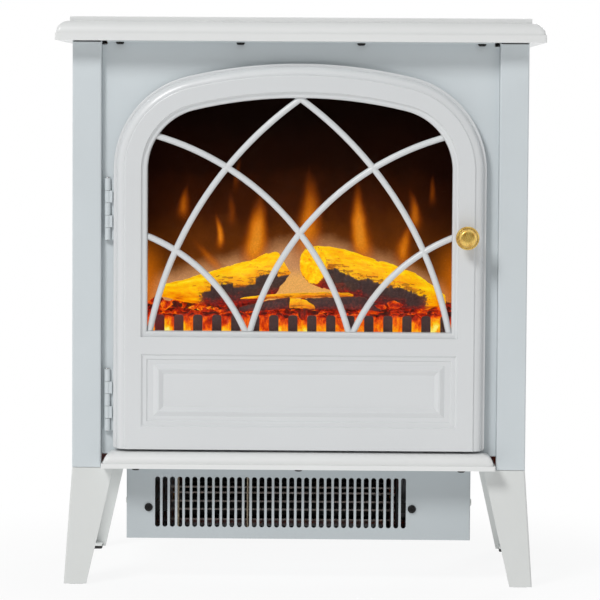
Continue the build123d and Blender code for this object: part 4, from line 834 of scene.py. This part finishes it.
def build_front_pieces():
    """Split pieces of charred and glowing wood, each a bar of many rough sections."""
    points, faces, char, red, lit, edge = [], [], [], [], [], []
    around, rows = FRONT_COLUMNS, FRONT_ROWS
    for seed, (profile, (front_y, back_y), charred, reddened) in enumerate(FRONT_PIECES):
        first = len(points)
        for row in range(rows):
            x, low_z, high_z = between(profile, row / (rows - 1))
            x += FIRE.x
            middle_y, middle_z = FIRE.y + (front_y + back_y) / 2, FIRE.z + (low_z + high_z) / 2
            taper = min(1.0, 0.45 + row / 6, 0.45 + (rows - 1 - row) / 6)
            half_y, half_z = (back_y - front_y) / 2 * taper, max(0.4, (high_z - low_z) / 2 * taper)
            middle_z -= (high_z - low_z) / 2 * (1 - taper)
            for column in range(around):
                turn = 2 * pi * column / around
                squared = max(abs(cos(turn)), abs(sin(turn))) ** 0.8
                y = middle_y - half_y * cos(turn) / squared * 0.93
                z = middle_z + half_z * sin(turn) / squared * 0.93
                rough = 0.8 * lumps((x, y, z), 3, seed + 20.0)
                rough += 0.9 * lumps((x * 0.3, y, z), 6, seed + 30.0)
                points.append(Vector((x + rough * 0.6, y + rough, z + rough * min(1, half_z / 3))))
                char.append(charred - 0.45 * max(0, sin(turn) - 0.75))
                red.append(reddened + 0.5 * max(0, -sin(turn)))
                lit.append(0.3 + 0.4 * sin(turn) + 0.25 * rough)
                edge.append(0.6)
        for low, after, high, over in grid_faces(rows, around, closed=True):
            faces.append((first + over, first + high, first + after, first + low))
        faces.append([first + column for column in range(around)])
        faces.append([first + (rows - 1) * around + around - 1 - column for column in range(around)])
    values = {"char": char, "red": red, "lit": lit, "edge": edge}
    mesh = mesh_from("charred_pieces", points, faces, values)
    return add_piece("charred_pieces", mesh, "log_resin", replaces=("log_front",))


# ---- Heating coils ----
COIL_WIRE_R, COIL_PITCH, COIL_SIDES = 0.22, 1.05, 10


def build_heating_coils():
    """The element's real coils: fine wire wound into a spring along each straight run."""
    wires = frame["nodes"]["heating_wires"]
    low, high = [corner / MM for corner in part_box("heating_wires")]
    heights = sorted({round(vert.co.z / MM, 1) for vert in wires.data.vertices})
    wire_run_r = (high.y - low.y) / 2
    coil_r = wire_run_r - 0.2
    middles = coil_rows(heights, wire_run_r)
    steps = int((high.x - low.x) / COIL_PITCH) * COIL_SIDES
    curve = bpy.data.curves.new("heating_coils", "CURVE")
    curve.dimensions = "3D"
    curve.bevel_depth = COIL_WIRE_R * MM
    curve.bevel_resolution = 1
    for z in middles:
        spline = curve.splines.new("POLY")
        spline.points.add(steps)
        for index in range(steps + 1):
            turn = 2 * pi * index / COIL_SIDES
            x = low.x + 0.5 + (high.x - low.x - 1) * index / steps
            y = (low.y + high.y) / 2 + coil_r * cos(turn)
            spline.points[index].co = (x * MM, y * MM, (z + coil_r * sin(turn)) * MM, 1)
    helper = bpy.data.objects.new("coil_helper", curve)
    bpy.context.scene.collection.objects.link(helper)
    bpy.context.view_layer.update()
    evaluated = helper.evaluated_get(bpy.context.evaluated_depsgraph_get())
    mesh = bpy.data.meshes.new_from_object(evaluated)
    bpy.data.objects.remove(helper)
    mesh.name = "heating_coils"
    mesh.materials.clear()
    return add_piece("heating_coils", mesh, "nichrome", replaces=("heating_wires",))


def coil_rows(heights, radius):
    """The height of each run's middle, from the heights of all its points."""
    middles, group = [], [heights[0]]
    for height in heights[1:] + [1e9]:
        if height - group[0] > 2 * radius + 0.5:
            middles.append((group[0] + group[-1]) / 2)
            group = []
        group.append(height)
    return middles


# ---- Floor, light and camera ----
FLOOR_R = 3.0
# The floor glows by this share near the object, and wholly beyond the second distance
FLOOR_GLOW = 0.88
FADE_FROM, FADE_TO = 0.2, 0.55


def build_floor():
    """A pale round floor that fades into the white background."""
    maker = bmesh.new()
    bmesh.ops.create_circle(maker, cap_ends=True, segments=96, radius=FLOOR_R)
    mesh = bpy.data.meshes.new("floor")
    maker.to_mesh(mesh)
    maker.free()
    s = Shader("pale_floor", srgb(244, 244, 244), 0.7)
    distance = s.add("ShaderNodeVectorMath", {0: s.place}, operation="LENGTH").outputs["Value"]
    fade = s.spread(distance, FADE_FROM, FADE_TO, FLOOR_GLOW, 1.0, smooth=True)
    glow = s.add("ShaderNodeEmission", {"Color": (1, 1, 1, 1), "Strength": 1.0}).outputs[0]
    mixer = s.add("ShaderNodeMixShader", {0: fade, 1: s.bsdf.outputs[0], 2: glow}).outputs[0]
    s.tree.links.new(mixer, s.tree.nodes["Material Output"].inputs["Surface"])
    mesh.materials.append(s.material)
    ground = bpy.data.objects.new("floor", mesh)
    bpy.context.scene.collection.objects.link(ground)


def build_world():
    """White behind the object, soft light on it, and a darker front for its reflections."""
    world = bpy.data.worlds.new("studio")
    bpy.context.scene.world = world
    world.use_nodes = True
    tree = world.node_tree
    tree.nodes.clear()
    output = tree.nodes.new("ShaderNodeOutputWorld")
    path = tree.nodes.new("ShaderNodeLightPath")

    def background(colour, strength):
        node = tree.nodes.new("ShaderNodeBackground")
        node.inputs["Color"].default_value = colour
        node.inputs["Strength"].default_value = strength
        return node

    def choose(factor, first, second):
        node = tree.nodes.new("ShaderNodeMixShader")
        tree.links.new(factor, node.inputs[0])
        tree.links.new(first, node.inputs[1])
        tree.links.new(second, node.inputs[2])
        return node.outputs[0]

    soft = background((0.97, 0.985, 1.0, 1), 0.24)
    seen = background((1, 1, 1, 1), 1.0)
    mirrored = background((1, 1, 1, 1), 1.0)
    coords = tree.nodes.new("ShaderNodeTexCoord")
    split = tree.nodes.new("ShaderNodeSeparateXYZ")
    tree.links.new(coords.outputs["Generated"], split.inputs[0])
    spread = tree.nodes.new("ShaderNodeMapRange")
    spread.inputs["From Min"].default_value = -0.95
    spread.inputs["From Max"].default_value = -0.35
    tree.links.new(split.outputs["Y"], spread.inputs["Value"])
    tree.links.new(spread.outputs[0], mirrored.inputs["Strength"])
    shown = choose(path.outputs["Is Glossy Ray"], soft.outputs[0], mirrored.outputs[0])
    shown = choose(path.outputs["Is Camera Ray"], shown, seen.outputs[0])
    tree.links.new(shown, output.inputs["Surface"])


def area_light(name, place, target, size, power, colour):
    """A round soft light aimed at a point."""
    light = bpy.data.lights.new(name, "AREA")
    light.shape = "DISK"
    light.size = size
    light.energy = power
    light.color = colour
    lamp = bpy.data.objects.new(name, light)
    lamp.location = place
    lamp.rotation_mode = "QUATERNION"
    lamp.rotation_quaternion = (Vector(target) - Vector(place)).to_track_quat("-Z", "Y")
    bpy.context.scene.collection.objects.link(lamp)


# Each light: name, place, width, power, colour
LIGHTS = (
    ("key", (-1.9, -3.1, 3.15), 1.4, 108.0, (1, 1, 1)),
    ("fill", (2.4, -1.4, 1.2), 1.8, 4.0, (0.96, 0.98, 1.0)),
    ("back", (1.4, 3.2, 2.2), 1.8, 30.0, (1, 1, 1)),
)


def build_lights():
    middle = (cad_box[0] + cad_box[1]) / 2
    for name, place, size, power, colour in LIGHTS:
        area_light(name, place, middle, size, power, colour)


CAMERA_PLACE = Vector((0.034, -3.018, 0.470))
CAMERA_LENS = 180.9
CAMERA_ROLL = 0.36
# The camera's aim: from the middle, in from the front of the box, and up from half its height
AIM_RIGHT, AIM_IN, AIM_UP = 0.0007, 0.026, 0.0035


def build_camera():
    """A long lens a little above the object's middle, looking slightly down and a touch rolled."""
    low, high = cad_box
    target = Vector((AIM_RIGHT, low.y + AIM_IN, high.z / 2 + AIM_UP))
    data = bpy.data.cameras.new("camera")
    data.lens = CAMERA_LENS
    camera = bpy.data.objects.new("camera", data)
    camera.location = CAMERA_PLACE
    camera.rotation_mode = "QUATERNION"
    aim = (target - CAMERA_PLACE).to_track_quat("-Z", "Y")
    camera.rotation_quaternion = aim @ Quaternion((0, 0, 1), radians(CAMERA_ROLL))
    bpy.context.scene.collection.objects.link(camera)
    bpy.context.scene.camera = camera
    bpy.context.scene.view_settings.view_transform = "Standard"


dress_cad_nodes()
build_log(
    "log_left_burning",
    "log_left",
    LEFT_LOG,
    split_span=(0.22, 1.2),
    slants=((0.0, 0.0), (0.1, -0.6)),
    end_char=1.0,
    steps=9,
    seed=1.0,
)
build_log(
    "log_right_burning",
    "log_right",
    RIGHT_LOG,
    split_span=(-0.05, 0.91),
    slants=((0.75, 0.0), (0.0, 0.0)),
    end_char=0.0,
    steps=3,
    seed=2.0,
)
build_ember_bed()
build_coals()
build_front_pieces()
build_heating_coils()
build_floor()
build_world()
build_lights()
build_camera()
